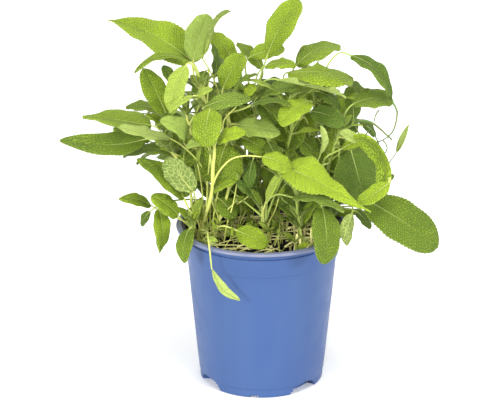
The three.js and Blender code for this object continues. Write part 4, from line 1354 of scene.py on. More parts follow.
def press_recesses(ob):
    """Presses the arched, moulded recesses into the foot."""
    places = corners_of(ob.data) / MM
    radius = np.hypot(places[:, 0], places[:, 1])
    azimuth = np.degrees(np.arctan2(places[:, 0], -places[:, 1]))
    depth = np.zeros(len(places))
    for middle in RECESSES:
        off = np.abs((azimuth - middle + 540) % 360 - 180)
        arch = np.sqrt(np.clip(1 - (off / RECESS_HALF_ANGLE) ** 2, 0, 1))
        top = (FOOT_TOP + 1.5) * arch - 1.2
        top += np.where((radius < FOOT_RADIUS - 0.4) & (places[:, 2] > 3), 1.5 * (arch > 0), 0)
        depth = np.maximum(depth, RECESS_DEPTH * smoothstep(-0.7, 0.9, top - places[:, 2]))
    scale = (radius - depth * smoothstep(*RECESS_FADE, radius)) / np.maximum(radius, 1e-6)
    places[:, :2] *= scale[:, None]
    set_corners(ob.data, places * MM)


def foot_cutter(azimuth, width, near, far, top):
    """A box that stands through the base."""
    deselect_all()
    bpy.ops.mesh.primitive_cube_add(size=1)
    box = bpy.context.object
    box.scale = (width * MM, (far - near) * MM, 2 * top * MM)
    box.location = (0, -(far + near) / 2 * MM, 0)
    apply_place()
    box.rotation_euler = (0, 0, math.radians(azimuth))
    apply_place()
    return box


def pot_outline(rim, height, wall):
    """The pot's section, from the middle of its underside round to the middle of its floor."""
    return rounded([
        (0, 0, 0), (PAD_RADIUS, 0, 0), (PAD_RADIUS + 2, BASE_RISE, 0.8),
        (RING_RADIUS - 2, BASE_RISE, 0.8), (RING_RADIUS, 0, 0.5), (FOOT_RADIUS - 1, 0, 0),
        (FOOT_RADIUS, 1, 0.5), *((FOOT_RADIUS, 1.6 + 0.55 * k, 0) for k in range(8)),
        (FOOT_RADIUS, FOOT_TOP - 0.3, 0.3),
        (WALL_BOTTOM_RADIUS, FOOT_TOP + 0.4, 0.3),
        (WALL_BOTTOM_RADIUS + 0.1, FOOT_TOP + 1.2, 0),
        (WALL_BOTTOM_RADIUS + 0.2, FOOT_TOP + 2.2, 0),
        *((radius, z, 0) for radius, z in WALL_PLACES),
        (WALL_TOP_RADIUS - 0.2, BAND_BOTTOM - 0.5, 0.5),
        (WALL_TOP_RADIUS - 0.2, BAND_BOTTOM + 0.1, 0.15),
        (WALL_TOP_RADIUS + 0.95, BAND_BOTTOM + 0.35, 0.3),
        (BAND_RADIUS, BAND_TOP, 0.2), (BAND_RADIUS - 0.9, BAND_TOP + 0.3, 0.1),
        (BAND_RADIUS - 0.9, BAND_TOP + 0.8, 0.1), (BAND_RADIUS - 0.1, BAND_TOP + 1.1, 0.2),
        (BAND_RADIUS, LIP_UNDERSIDE, 0.6), (rim - 0.8, LIP_UNDERSIDE, 0.4),
        (rim, LIP_UNDERSIDE + 0.8, 0.5), (rim - 0.5, height, 0.7),
        (LIP_INNER_RADIUS, height, 0.8),
        (inner_radius(height - LIP_DROP, wall), height - LIP_DROP, 0.5),
        *((inner_radius(z, wall), z, 0) for z in (11, 9.7, 9.1, 8.5, 7.9, 7.3, 6.4, 5.4)),
        (WALL_BOTTOM_RADIUS - wall - 0.6, FLOOR_TOP + 0.5, 0.4),
        (WALL_BOTTOM_RADIUS - wall - 1.4, FLOOR_TOP, 0), (36, FLOOR_TOP, 0),
        (30, FLOOR_TOP, 0), (0, FLOOR_TOP, 0),
    ])


def cut_foot(pot):
    """Cuts the drain holes and the notches at the edge."""
    cutters = [foot_cutter(a, *HOLE_SIZE) for a in DRAIN_HOLES]
    cutters += [foot_cutter(a, *NOTCH_SIZE) for a in EDGE_NOTCHES]
    cutter = join(cutters, "cutters")
    cut = pot.modifiers.new("Holes", "BOOLEAN")
    cut.operation = "DIFFERENCE"
    cut.solver = "EXACT"
    cut.object = cutter
    apply_modifiers(pot)
    bpy.data.objects.remove(cutter)


def give_plastics(pot, settings):
    """The outside, the lip and the inside each get their plastic."""
    for finish in (
        plastic_finish("pot_plastic", settings.colour, settings.deep, 0.42),
        # The lip's lighter plastic is partly painted reflection of the lights on the flange
        plastic_finish("pot_lip", settings.lip, settings.colour, 0.35),
        plastic_finish("pot_inside", settings.inside, linear(40, 40, 46), 0.5),
    ):
        pot.data.materials.append(finish)

    def on_lip(mid, _):
        return (mid.z > (LIP_UNDERSIDE + 0.1) * MM
                and math.hypot(mid.x, mid.y) > (LIP_INNER_RADIUS + 0.9) * MM)

    def within(mid, normal):
        radius = math.hypot(mid.x, mid.y)
        inward = -(normal.x * mid.x + normal.y * mid.y) / max(radius, 1e-6)
        return mid.z > (FLOOR_TOP - 0.1) * MM and not on_lip(mid, normal) and (
            inward > 0.4 or normal.z > 0.6 and radius < (FOOT_RADIUS - 0.6) * MM
            or mid.z > (LIP_UNDERSIDE + 0.5) * MM)

    select_only(pot)
    edit_mode()
    for index, wanted in ((1, on_lip), (2, within)):
        pick_faces(pot, wanted)
        pot.active_material_index = index
        bpy.ops.object.material_slot_assign()
    object_mode()


class SAGE_OT_pot(bpy.types.Operator):
    """Make the moulded nursery pot"""
    bl_idname = "sage.pot"
    bl_label = "Pot"

    def execute(self, context):
        settings = context.scene.sage_pot
        rim, height, wall = (v / MM for v in (settings.rim_radius, settings.height, settings.wall))
        pot = trace("pot_shell", pot_outline(rim, height, wall))
        spin_round(pot, POT_STEPS)
        press_recesses(pot)
        cut_foot(pot)
        give_plastics(pot, settings)
        bpy.ops.object.shade_smooth_by_angle(angle=math.radians(38))
        finish_piece(pot, "moulded_pot", "pot_plastic", "pot")
        return {"FINISHED"}


# Soil

SOIL_GAP = 0.6
# The bottom of the soil's side, clear of the recesses in the foot: radius and height
SOIL_SIDE = ((33.6, FLOOR_TOP + 0.35), (34.4, 9.4))
SOIL_SHOULDER = 10.6
SOIL_RINGS = 34
SOIL_STEPS = 110
# The two sizes of lumps in the top, each with its share of the roughness
LUMPS = ((0.009, 1.0), (0.0035, 0.55))
LOOSE_STRAWS = 50

# Upright dry stubs: x, y and height in mm
STRAW_STUBS = ((15, 24, 8), (18, 21, 13), (23, 10, 15), (27, 6, 10), (30, 9, 9), (20, -4, 6))


def soil_radius(z):
    """The radius of the soil at a height, a little inside the pot's wall."""
    return inner_radius(z, USUAL_WALL) - SOIL_GAP


def soil_height(x, y):
    """The height of the soil's uneven top."""
    turn = math.atan2(x, -y)
    radius = math.hypot(x, y)
    return (SOIL_LEVEL + 0.9 * math.sin(3 * turn + radius / 9)
            + 0.6 * math.sin(5 * turn - radius / 6) - 0.4)


def rotation(rng):
    """A random turn, as a matrix."""
    q = np.array([rng.gauss(0, 1) for _ in range(4)])
    w, x, y, z = q / np.linalg.norm(q)
    return np.array((
        (1 - 2 * (y * y + z * z), 2 * (x * y - z * w), 2 * (x * z + y * w)),
        (2 * (x * y + z * w), 1 - 2 * (x * x + z * z), 2 * (y * z - x * w)),
        (2 * (x * z - y * w), 2 * (y * z + x * w), 1 - 2 * (x * x + y * y)),
    ))


def scatter(seed_shape, name, turns, middles):
    """One mesh with a copy of a made shape at each place. turns: matrices with the sizes in."""
    places = corners_of(seed_shape.data)
    faces = [tuple(p.vertices) for p in seed_shape.data.polygons]
    corners, all_faces = [], []
    for turn, middle in zip(turns, middles):
        first = len(corners) * len(places)
        corners.append(places @ turn.T + middle)
        all_faces.extend(tuple(v + first for v in face) for face in faces)
    mesh = bpy.data.meshes.new(name)
    mesh.from_pydata([tuple(c) for block in corners for c in block.tolist()], [], all_faces)
    for material in seed_shape.data.materials:
        mesh.materials.append(material)
    ob = bpy.data.objects.new(name, mesh)
    bpy.context.collection.objects.link(ob)
    return ob


def random_spot(rng, reach):
    """A spot around the pot's axis, as likely anywhere within reach."""
    radius = reach * math.sqrt(rng.random())
    turn = rng.uniform(0, 2 * math.pi)
    return radius * math.cos(turn), radius * math.sin(turn)


def lying(rng, length, radius):
    """The matrix of a thin bit that lies nearly flat, its own length along Z."""
    heading, tilt = rng.uniform(0, 2 * math.pi), rng.uniform(-0.25, 0.3)
    along = np.array((math.cos(heading) * math.cos(tilt), math.sin(heading) * math.cos(tilt),
                      math.sin(tilt)))
    side = unit(np.cross(along, (0, 0, 1)))
    return np.stack((side * radius, np.cross(along, side) * radius, along * length), axis=1)


def soil_body(settings):
    """The soil that fills the pot, its top uneven and lumpy."""
    edge = soil_radius(SOIL_LEVEL)
    line = [np.array(p, float) for p in (
        (0, SOIL_SIDE[0][1]), *SOIL_SIDE, (soil_radius(SOIL_SHOULDER), SOIL_SHOULDER),
        (soil_radius(60), 60))]
    line += [np.array((edge * (1 - k / SOIL_RINGS), SOIL_LEVEL)) for k in range(SOIL_RINGS + 1)]
    soil = trace("soil_body", line)
    spin_round(soil, SOIL_STEPS)
    top = soil.vertex_groups.new(name="top")
    places = corners_of(soil.data)
    for i, (x, y, z) in enumerate(places / MM):
        if z > SOIL_LEVEL - 1:
            radius = math.hypot(x, y)
            places[i, 2] = soil_height(x, y) * MM
            top.add([i], float(1 - smoothstep(edge - 1.5, edge, radius)) * 0.9 + 0.1, "REPLACE")
    set_corners(soil.data, places)
    for size, share in LUMPS:
        lumps = bpy.data.textures.new("lumps", "CLOUDS")
        lumps.noise_scale = size
        lumps.noise_depth = 2
        rough = soil.modifiers.new("Lumps", "DISPLACE")
        rough.texture = lumps
        rough.texture_coords = "LOCAL"
        rough.direction = "Z"
        rough.mid_level = 0.5
        rough.strength = settings.roughness * share
        rough.vertex_group = "top"
    apply_modifiers(soil)
    soil.data.materials.append(soil_finish(settings))
    bpy.ops.object.shade_smooth()
    return soil


def loose_crumbs(finish, count, reach, rng):
    """Crumbs that lie on the soil."""
    deselect_all()
    bpy.ops.mesh.primitive_ico_sphere_add(subdivisions=1, radius=1)
    crumb = bpy.context.object
    crumb.data.materials.append(finish)
    turns, middles = [], []
    for _ in range(count):
        x, y = random_spot(rng, reach)
        size = rng.uniform(0.4, 1.5)
        squash = np.diag([size * rng.uniform(0.6, 1.3) for _ in range(3)])
        turns.append(rotation(rng) @ squash * MM)
        middles.append(np.array((x, y, soil_height(x, y) + rng.uniform(0.2, 1.4))) * MM)
    crumbs = scatter(crumb, "crumbs", turns, middles)
    bpy.data.objects.remove(crumb)
    return crumbs


def straw_bits(finish, reach, rng):
    """Hollow stubs of straw that stand in the soil, and bits that lie on it."""
    bpy.ops.mesh.primitive_cylinder_add(vertices=7, radius=1, depth=1, end_fill_type="NGON")
    bit = bpy.context.object
    edit_mode()
    pick_faces(bit, lambda _, normal: normal.z > 0.9)
    bpy.ops.mesh.inset(thickness=0.28)
    move(z=-0.08)
    object_mode()
    bit.data.materials.append(finish)
    turns, middles = [], []
    stubs = [*STRAW_STUBS, *((rng.uniform(18, 42), rng.uniform(-30, 2), rng.uniform(6, 15))
                             for _ in range(6))]
    for x, y, height in stubs:
        lean = np.array((rng.uniform(-0.16, 0.16), rng.uniform(-0.1, 0.1), 1.0))
        side = unit(np.cross(lean, (0.0, 1.0, 0.0)))
        across = side * STUB_RADIUS, np.cross(lean, side) * STUB_RADIUS
        turns.append(np.stack((*across, lean * (height + 5)), axis=1) * MM)
        middles.append(np.array((x, y, SOIL_LEVEL + height / 2 - 2.5)) * MM)
    for _ in range(LOOSE_STRAWS):
        x, y = random_spot(rng, reach)
        turns.append(lying(rng, rng.uniform(3, 11), rng.uniform(0.2, 0.5)) * MM)
        middles.append(np.array((x, y, soil_height(x, y) + rng.uniform(0.9, 2.2))) * MM)
    bits = scatter(bit, "straw", turns, middles)
    bpy.data.objects.remove(bit)
    tone = bits.data.attributes.new("tone", "FLOAT", "POINT")
    tone.data.foreach_set("value", np.full(len(bits.data.vertices), 0.9))
    select_only(bits)
    bpy.ops.object.shade_smooth_by_angle(angle=math.radians(50))
    return bits


class SAGE_OT_soil(bpy.types.Operator):
    """Make the potting soil with its crumbs and straw"""
    bl_idname = "sage.soil"
    bl_label = "Soil"

    def execute(self, context):
        settings = context.scene.sage_soil
        rng = random.Random(SOIL_SEED)
        edge = soil_radius(SOIL_LEVEL)
        soil = soil_body(settings)
        crumbs = loose_crumbs(soil.data.materials[0], settings.crumbs, edge - 2, rng)
        finish_piece(join([soil, crumbs], "soil_and_crumbs"), "potting_soil", "soil", "soil")
        finish_piece(straw_bits(straw_finish(settings), edge - 8, rng), "straw_bits", "soil")
        return {"FINISHED"}


# Where the low leaf at the rim lies over the soil, in mm
LOW_LEAF_LEFT, LOW_LEAF_RIGHT = -24, 10
LOW_LEAF_BACK = -18

# Thin stalks under the sage: each leaves the soil, then goes through places as
# [across, up, back] and ends in a small leaf of some length
THIN_STALKS = (
    ((-38, 2), ((-40, 2, 1), (-42, 28, -4), (-45, 44, -8)), 12),
    ((-36, 0), ((-38, 2, -1), (-38, 28, -8), (-36, 50, -12)), 10),
    ((-40, 3), ((-43, 4, 2), (-47, 22, -2), (-51, 36, -4)), 9),
    ((-34, -2), ((-34, 2, -4), (-31, 22, -9), (-27, 36, -12)), 11),
    ((-33, -6), ((-31, 0, -8), (-25, 10, -12), (-18, 17, -14)), 8),
    ((-35, 4), ((-36, 6, 2), (-35, 34, -4), (-36, 58, -8)), 12),
    ((-27, -8), ((-24, 2, -11), (-20, 15, -14), (-17, 32, -16)), 10),
    ((-41, -2), ((-44, 2, -4), (-51, 12, -8), (-56, 22, -12)), 8),
    ((4, -12), ((5, 2, -13), (9, 10, -15), (12, 20, -16)), 9),
)


def small_leaf(stem, base, direction, normal, length, look, share_of_width=0.4):
    """A leaf that the layout doesn't have, straight ahead from its base."""
    leaf = Leaf(-1, stem, base, base + direction * length, length * share_of_width,
                square_to(normal, direction), 0.1, 14)
    leaf.look = look
    return leaf


def upright_leaves(path, rng, length, looks):
    """A pair of small leaves and a bud at the end of a thin stalk."""
    tip, up = path.place(1), path.tangent(1)
    side = square_to(np.array((math.cos(rng.uniform(0, 6)), 0.6, 0.1)), up)
    made = []
    for out, size in ((side, 1.0), (-side, 0.85), (np.cross(up, side), 0.5)):
        lean = math.radians(rng.uniform(25, 60))
        direction = up * math.cos(lean) + out * math.sin(lean)
        made.append(small_leaf("", tip - up * 0.4, direction, up - out * 0.3, length * size,
                               rng.choice(looks), 0.42))
    return made


def dry_stalk(stalk, reach, rng):
    """A bowed dry stalk that lies over the soil."""
    x, y = random_spot(rng, reach)
    turn, length = rng.gauss(0, 0.6), rng.uniform(12, 38)
    ends = []
    for sign in (-1, 1):
        ex = x + sign * math.cos(turn) * length / 2
        ey = y + sign * math.sin(turn) * length / 2
        over = max(1.0, math.hypot(ex, ey) / reach)
        ex, ey = ex / over, ey / over
        ends.append(np.array((ex, ey, soil_height(ex, ey) + rng.uniform(-0.5, 6.5))))
    bow = np.array((rng.uniform(-1.5, 1.5), rng.uniform(-1.5, 1.5), rng.uniform(0.2, 3)))
    path = Path(bezier([ends[0], (ends[0] + ends[1]) / 2 + bow, ends[1]]))
    thick = rng.uniform(0.45, 0.95)
    return lay_tube(stalk, path, np.array((0.1, 0.2, 1.0)),
                    lambda share: thick * (1 - 0.5 * share), 0.9, rng.uniform(0.8, 1.5))


class SAGE_OT_litter(bpy.types.Operator):
    """Make the dry stalks, the seedlings and the thin pale stalks over the soil"""
    bl_idname = "sage.litter"
    bl_label = "Stalks and seedlings"

    def execute(self, context):
        settings, leaf_settings = context.scene.sage_soil, context.scene.sage_leaf
        rng = random.Random(LITTER_SEED)
        reach = inner_radius(SOIL_LEVEL, USUAL_WALL) - 3
        stalk = Blank(make_tube_blank("thin_stalk", 5, 9), straw_finish(settings))
        dry = [dry_stalk(stalk, reach, rng) for _ in range(settings.stalks)]
        finish_piece(join(dry, "dry_stalks"), "dry_stalks", "soil")

        stalk.ob.data.materials[0] = stalk_finish(leaf_settings)
        small = Blank(make_leaf_blank("litter_blade", 10, (0, 0.2, 1)), leaf_finish(leaf_settings))
        young = []

        def grow(path, thick, leaf_length, looks):
            """Adds a thin stalk with its leaves to the young ones."""
            young.append(lay_tube(stalk, path, np.array((0.0, 1.0, 0.0)),
                                  lambda share: thick * (1 - 0.35 * share), 1.0,
                                  rng.uniform(0.9, 1.4)))
            for leaf in upright_leaves(path, rng, leaf_length, looks):
                young.append(lay_leaf(small, leaf, leaf_settings, rng))

        for _ in range(settings.seedlings):
            x, y = random_spot(rng, reach - 2)
            # The soil in front of the low leaf at the rim stays clear
            if LOW_LEAF_LEFT < x < LOW_LEAF_RIGHT and y < LOW_LEAF_BACK:
                y += 30
            foot = np.array((x, y, soil_height(x, y) - 2))
            height = rng.uniform(7, 22)
            top = foot + np.array((rng.uniform(-7, 7), rng.uniform(-6, 4), height))
            bend = (foot + top) / 2 + np.array((rng.uniform(-4, 4), rng.uniform(-3, 3), 2))
            grow(Path(bezier([foot, bend, top])), rng.uniform(0.3, 0.5), rng.uniform(5, 11), "bblx")
        for (x, y), places, length in THIN_STALKS:
            foot = np.array((x, y, SOIL_LEVEL - 2.0))
            path = Path(catmull_rom([foot] + [seen(p) for p in places]))
            grow(path, rng.uniform(0.55, 0.75), length, "blb")
        finish_piece(join(young, "seedlings"), "seedlings", "foliage")
        stalk.discard()
        small.discard()
        return {"FINISHED"}


# Leafy stems

SHOOT_SIZES = (13, 26)
BACK_SHOOT_SIZES = (18, 34)
# The share of a pale stem that has no shoots
BARE_SHARE = 0.6

# Lesser leaves, which the solids leave out: stem, the share of it where the petiole starts
# (-1: at the first of the places), places the petiole goes through, the blade's base and tip,
# all as [across, up, back], then its width, turn away from the viewer, arch and look
LESSER_LEAVES = (
    ("a", 0.2,
     ((-33.3, 30.7, -20), (-28.4, 39.8, -26), (-20.8, 46.8, -30), (-11.7, 48.9, -32)),
     (0.2, 48.2, -30), (21.1, 38.4, -34), 15, 30, 0.16, "b"),
    ("d", 0.62, ((-27.0, 71.9, -12), (-19.0, 82.0, -14)), (-11.7, 90.0, -12),
     (-4.0, 98.0, -10), 9, 40, 0.12, "b"),
    ("a", 0.85, (), (-40.3, 82.7, -16), (-6.5, 88.6, -20), 13, 34, 0.12, "o"),
    ("a", 0.9, ((-43.8, 90.7, -16),), (-48.0, 90.7, -21), (-65.1, 78.5, -25), 6.5, 30, 0.22, "l"),
    ("a", 0.93, (), (-45.9, 89.3, -15), (-34.0, 95.6, -17), 7, 40, 0.2, "l"),
    ("e", 0.6, (), (-13.1, 61.4, -12), (3.0, 51.7, -14), 14, 20, 0.12, "m"),
    ("g", 0.5, (), (-6.1, 46.1, -12), (-8.9, 25.1, -18), 10, 25, 0.12, "c"),
    ("j", -1, ((1.6, 2.8, -19), (0.9, 8.4, -22), (1.6, 12.6, -25)), (3.0, 17.5, -26),
     (15.9, 40.5, -28), 7.5, 30, 0.06, "l"),
    ("j", -1, ((0.2, 2.1, -18), (0.2, 9.1, -21)), (0.2, 14.0, -24),
     (-7.5, 25.8, -26), 6, 40, 0.1, "m"),
    ("d", 0.15, (), (-29.8, 18.9, -8), (-18.0, 5.6, -12), 16, 20, 0.1, "m"),
    ("d", 0.3, (), (-16.6, 30.0, -6), (-0.5, 19.6, -12), 12, 30, 0.12, "o"),
    ("i", 0.9, (), (66.4, 59.3, -14), (54.6, 65.6, -18), 9, 30, 0.1, "p"),
    ("l", -1, ((89.5, 33.5, -34),), (88.8, 30.0, -33), (66.4, 15.4, -40), 13, 20, -0.1, "b"),
    ("h", 0.45, (), (26.7, 60.7, 4), (39.2, 46.8, 0), 16, 30, 0.12, "m"),
    ("h", 0.5, (), (26.7, 73.3, 6), (19.7, 53.7, 2), 18, 20, 0.12, "n"),
    ("e", 0.5, (), (0.2, 41.2, 6), (14.1, 30.7, 2), 15, 30, 0.12, "n"),
    ("g", 0.6, (), (-6.8, 74.7, 4), (-16.6, 56.5, 0), 16, 25, 0.12, "m"),
    ("g", 0.75, (), (-1.2, 85.8, 0), (9.9, 70.5, -4), 15, 25, 0.12, "n"),
    ("i", 0.3, (), (39.2, 31.4, 4), (49.0, 16.1, 0), 16, 20, 0.12, "n"),
    ("c", 0.5, (), (-52.8, 38.4, -4), (-58.4, 21.7, -10), 14, 30, 0.12, "m"),
    ("b", 0.45, (), (-45.9, 55.1, 6), (-55.6, 39.8, 2), 15, 30, 0.12, "m"),
    ("b", 0.6, (), (-50.1, 67.7, 6), (-64.0, 56.5, 2), 14, 40, 0.12, "m"),
    ("f", 0.4, (), (-20.8, 34.2, 26), (-31.9, 18.9, 22), 18, 24, 0.12, "n"),
    ("e", 0.3, (), (8.5, 28.6, 14), (19.7, 11.9, 10), 18, 24, 0.12, "m"),
    ("h", 0.3, (), (30.9, 30.0, 26), (42.0, 11.9, 22), 18, 24, 0.12, "n"),
    ("d", 0.05, ((-38.9, -7.6, -22),), (-37.5, -9.0, -30), (-33.3, -13.9, -34), 5, 30, 0.3, "q"),
    ("d", 0.04, ((-40.3, -9.0, -20),), (-38.2, -11.1, -28),
     (-30.5, -11.1, -34), 4.5, 40, 0.3, "l"),
    ("b", 0.7, (), (-54.9, 74.7, 10), (-71.0, 69.1, 8), 16, 30, 0.12, "n"),
    ("f", 0.7, (), (-15.2, 83.0, 28), (-27.7, 71.9, 26), 18, 30, 0.12, "m"),
    ("h", 0.8, (), (37.8, 85.8, 16), (50.4, 76.1, 12), 15, 30, 0.12, "n"),
    ("f", 0.55, (), (-24.9, 56.5, 30), (-37.5, 46.8, 28), 18, 30, 0.12, "n"),
    ("k", 0.5, (), (-45.9, 32.8, 26), (-57.0, 21.7, 24), 16, 30, 0.12, "n"),
    ("g", 0.3, (), (-5.4, 21.7, 20), (-15.2, 7.7, 16), 15, 30, 0.12, "m"),
)


def lesser_leaf(path, share, places, base, tip, width, turn, arch, look):
    """A lesser leaf and its petiole."""
    base, tip = seen(base), seen(tip)
    leaf = Leaf(-1, "", base, tip, width, facing(base, tip, turn), arch, 8)
    leaf.look = look
    seat = path.at(max(share, 0))
    if places:
        seats = [] if share < 0 else [seat]
        return Path(catmull_rom([*seats, *(seen(p) for p in places), base])), leaf
    reach = np.linalg.norm(base - seat)
    ahead = leaf.blade.tangent(0)
    return Path(bezier([seat, seat + path.tangent_at(share) * 0.15 * reach,
                        base - ahead * 0.35 * reach, base])), leaf


def square_stem(key, tube, path, seats):
    """The stem itself, from under the soil to its tip, thicker where petioles leave it."""
    (x, y), _ = STEMS[key]
    foot = path.place(0)
    below = np.array((x, y, SOIL_LEVEL - ROOT_DEPTH), float)
    above = path.length()
    under = foot[2] - below[2]
    whole = under + above

    def place(share):
        walked = share * whole
        if walked < under:
            return below + (foot - below) * walked / under
        return path.at((walked - under) / above)

    def radius(share):
        up = max(0.0, (share * whole - under) / above)
        size = (STEM_RADIUS + (STEM_TIP_RADIUS - STEM_RADIUS) * up)
        size *= STEM_SHARE * PALE_STEMS.get(key, 1)
        knots = sum(math.exp(-((up - seat) * above / KNOT_LENGTH) ** 2) for seat in seats)
        return size * (1 + KNOT_SWELLING * min(1.0, knots))

    return lay_tube(tube, Path(place), np.array((0.0, 1.0, 0.0)), radius, 1.0,
                    PALE_STEM_TONE if key in PALE_STEMS else STEM_TONE)


def tip_tuft(path, rng, stem):
    """The young leaves around the stem's tip."""
    tip, ahead = path.place(1), path.tangent(1)
    side = square_to(np.array((1.0, 0.2, 0.0)), ahead)
    other = np.cross(ahead, side)
    start = rng.uniform(0, 2 * math.pi)
    made = []
    for k in range(6):
        turn = start + k * GOLDEN_ANGLE
        out = side * math.cos(turn) + other * math.sin(turn)
        lean = math.radians(16 + 9 * k)
        direction = ahead * math.cos(lean) + out * math.sin(lean)
        made.append(small_leaf(stem, tip - ahead * k * 0.8, direction, ahead - out * 0.3,
                               8 + 2.4 * k, rng.choice("bllg")))
    return made


def side_shoots(path, spacing, rng, stem):
    """Pairs of small leaves along the stem, each pair square to the one below."""
    length = path.length()
    sizes = BACK_SHOOT_SIZES if stem in BACK_STEMS else SHOOT_SIZES
    bare = BARE_SHARE if stem in PALE_STEMS else 0
    made = []
    count = int((length - 5) / spacing)
    turn = rng.uniform(0, math.pi)
    for k in range(count):
        share = (5 + spacing * (k + rng.uniform(0.3, 0.7))) / length
        if share < bare:
            continue
        at, up = path.at(share), path.tangent_at(share)
        side = square_to(np.array((1.0, 0.15, 0.0)), up)
        other = np.cross(up, side)
        turn += math.pi / 2 + rng.uniform(-0.3, 0.3)
        for half_turn in (0, math.pi):
            out = side * math.cos(turn + half_turn) + other * math.sin(turn + half_turn)
            to_viewer = -out[1]
            size = rng.uniform(*sizes) * (1 - 0.4 * max(0.0, to_viewer))
            lean = math.radians(rng.uniform(28, 68))
            direction = up * math.cos(lean) + out * math.sin(lean)
            reach = rng.uniform(2, 7)
            look = rng.choice("nmmyyo" if share < 0.5 else "nmyybgl")
            made.append((at, at + direction * reach,
                         small_leaf(stem, at + direction * reach, unit(direction + out * 0.25),
                                    up - out * 0.35, size, look, rng.uniform(0.38, 0.5))))
            if rng.random() < 0.5:
                lean += math.radians(rng.uniform(-25, -12))
                direction = up * math.cos(lean) + unit(out + other * 0.4) * math.sin(lean)
                made.append((at, at, small_leaf(stem, at, unit(direction), up - out * 0.2,
                                                size * 0.5, rng.choice("bmg"))))
    return made


def placed_leaf(leaf, path, blade, tube, settings, rng):
    """A leaf of the layout on its petiole, and the share of the stem where that starts."""
    seat, petiole = leaf.petiole(path)
    whole = along_both(petiole, leaf, RIB_REACH)

    def radius(share):
        if share < 0.5:
            return PETIOLE_RADIUS + PETIOLE_FLARE * math.exp(-share * 30) - 0.19 * share
        return RIB_RADIUS * (1 - (share - 0.5) * 1.85) * min(1, leaf.width / 14 + 0.2)

    # The face that the tube has to start with, to end under the blade
    normal = leaf.normal
    for share in np.linspace(0.5, 0, 12):
        normal = square_to(normal, whole.tangent(share))
    tone = PALE_PETIOLE_TONE if leaf.stem in PALE_STEMS else PETIOLE_TONE
    return seat, [lay_tube(tube, whole, normal, radius, 0.85, tone),
                  lay_leaf(blade, leaf, settings, rng)]


def lesser_pieces(row, path, blade, tube, settings, rng):
    """A lesser leaf on its petiole."""
    petiole, leaf = lesser_leaf(path, *row)
    thick = 0.35 + 0.02 * leaf.width
    return [lay_tube(tube, petiole, np.array((0.0, -1.0, 0.2)),
                     lambda share: thick * (1.15 - 0.35 * share), 0.85, 0.8),
            lay_leaf(blade, leaf, settings, rng)]


def shoot_pieces(path, stem, blade, twig, settings, rng):
    """The leaves of the side shoots, each with a twig where it stands off the stem."""
    made = []
    for seat, base, leaf in side_shoots(path, settings.shoot_spacing / MM, rng, stem):
        if np.linalg.norm(base - seat) > 1:
            stalk = Path(bezier([seat, (seat + base) / 2, base + leaf.blade.tangent(0)]))
            made.append(lay_tube(twig, stalk, leaf.normal, lambda share: TWIG_RADIUS))
        made.append(lay_leaf(blade, leaf, settings, rng))
    return made


class SAGE_OT_leafy_stems(bpy.types.Operator):
    """Make the stems with their petioles and net-veined leaves"""
    bl_idname = "sage.leafy_stems"
    bl_label = "Leafy stems"

    def execute(self, context):
        settings = context.scene.sage_leaf
        leaves = find_leaves()
        green, ridged = leaf_finish(settings), stalk_finish(settings)
        spans = (0, 0.05, 0.14, 0.35, 0.6, 0.82, 0.95, 1)
        blade = Blank(make_leaf_blank("blade", 52, spans), green)
        medium = Blank(make_leaf_blank("medium_blade", 34, (0, 0.08, 0.4, 0.8, 1)), green)
        small = Blank(make_leaf_blank("small_blade", 18, (0, 0.14, 0.6, 1)), green)
        tube = Blank(make_tube_blank("stalk", 8, 28), ridged)
        twig = Blank(make_tube_blank("twig", 5, 4), ridged)
        hair = make_hair_blank()
        hair.data.materials.append(hair_finish(settings))
        for key in STEMS:
            rng = random.Random(f"stem {key}")
            path = stem_path(key, STEM_BOWS.get(key))
            parts, seats = [], []
            for leaf in leaves[key]:
                seat, pieces = placed_leaf(leaf, path, blade, tube, settings, rng)
                seats.append(seat)
                parts += pieces
            for stem, *row in LESSER_LEAVES:
                if stem == key:
                    parts += lesser_pieces(row, path, medium, tube, settings, rng)
            parts.append(square_stem(key, tube, path, seats))
            parts += [lay_leaf(small, leaf, settings, rng) for leaf in tip_tuft(path, rng, key)]
            parts += shoot_pieces(path, key, small, twig, settings, rng)
            whole = join(parts, f"sage_stem_{key}")
            whole = join([whole, downy_hairs(whole, hair, settings, rng)], whole.name)
            finish_piece(whole, f"sage_stem_{key}", "foliage", f"leafy_stem_{key}")
        for blank in (blade, medium, small, tube, twig):
            blank.discard()
        bpy.data.objects.remove(hair)
        return {"FINISHED"}


# Dry tendrils at the right: radius, then places as [across, up, back], in picture millimetres
TENDRILS = (
    (0.65, ((90.9, 87.2, -4), (94.3, 80.3, -5), (94.3, 76.1, -6), (92.3, 67.7, -6),
            (88.8, 62.8, -4), (84.6, 60.0, 0))),
    (0.5, ((81.8, 80.9, 0), (79.4, 77, 0), (78.3, 72.6, 0))),
    (0.9, ((65.7, 72.6, 0), (70.6, 73.6, -2), (76.9, 71.9, -4), (82.5, 67.7, -4),
           (90.9, 60.0, -4))),
    (0.6, ((64.4, 73.3, 0), (66, 68, 0), (69.2, 62.1, 2))),
    (0.6, ((72.7, 69.8, -2), (76.9, 67, 0), (79, 63, 2), (81.8, 57.2, 2))),
    (0.5, ((75.5, 67.7, -2), (72.7, 64, 0), (70, 61, 2))),
    (0.55, ((74, 50, 2), (78.3, 56.5, 2), (81.1, 58.6, 1), (84.6, 59.3, 0), (87.4, 55.1, 0),
            (86.5, 51.5, 1), (84.6, 50.2, 2))),
    (0.5, ((76, 36, 4), (82, 39, 2), (88, 43.2, 0), (94, 51.0, -2))),
)
# The leaf at the end of the last of them: base, tip and width
SLENDER_LEAF = ((94.0, 51.0, -2), (102.8, 71.2, -4), 4.6)


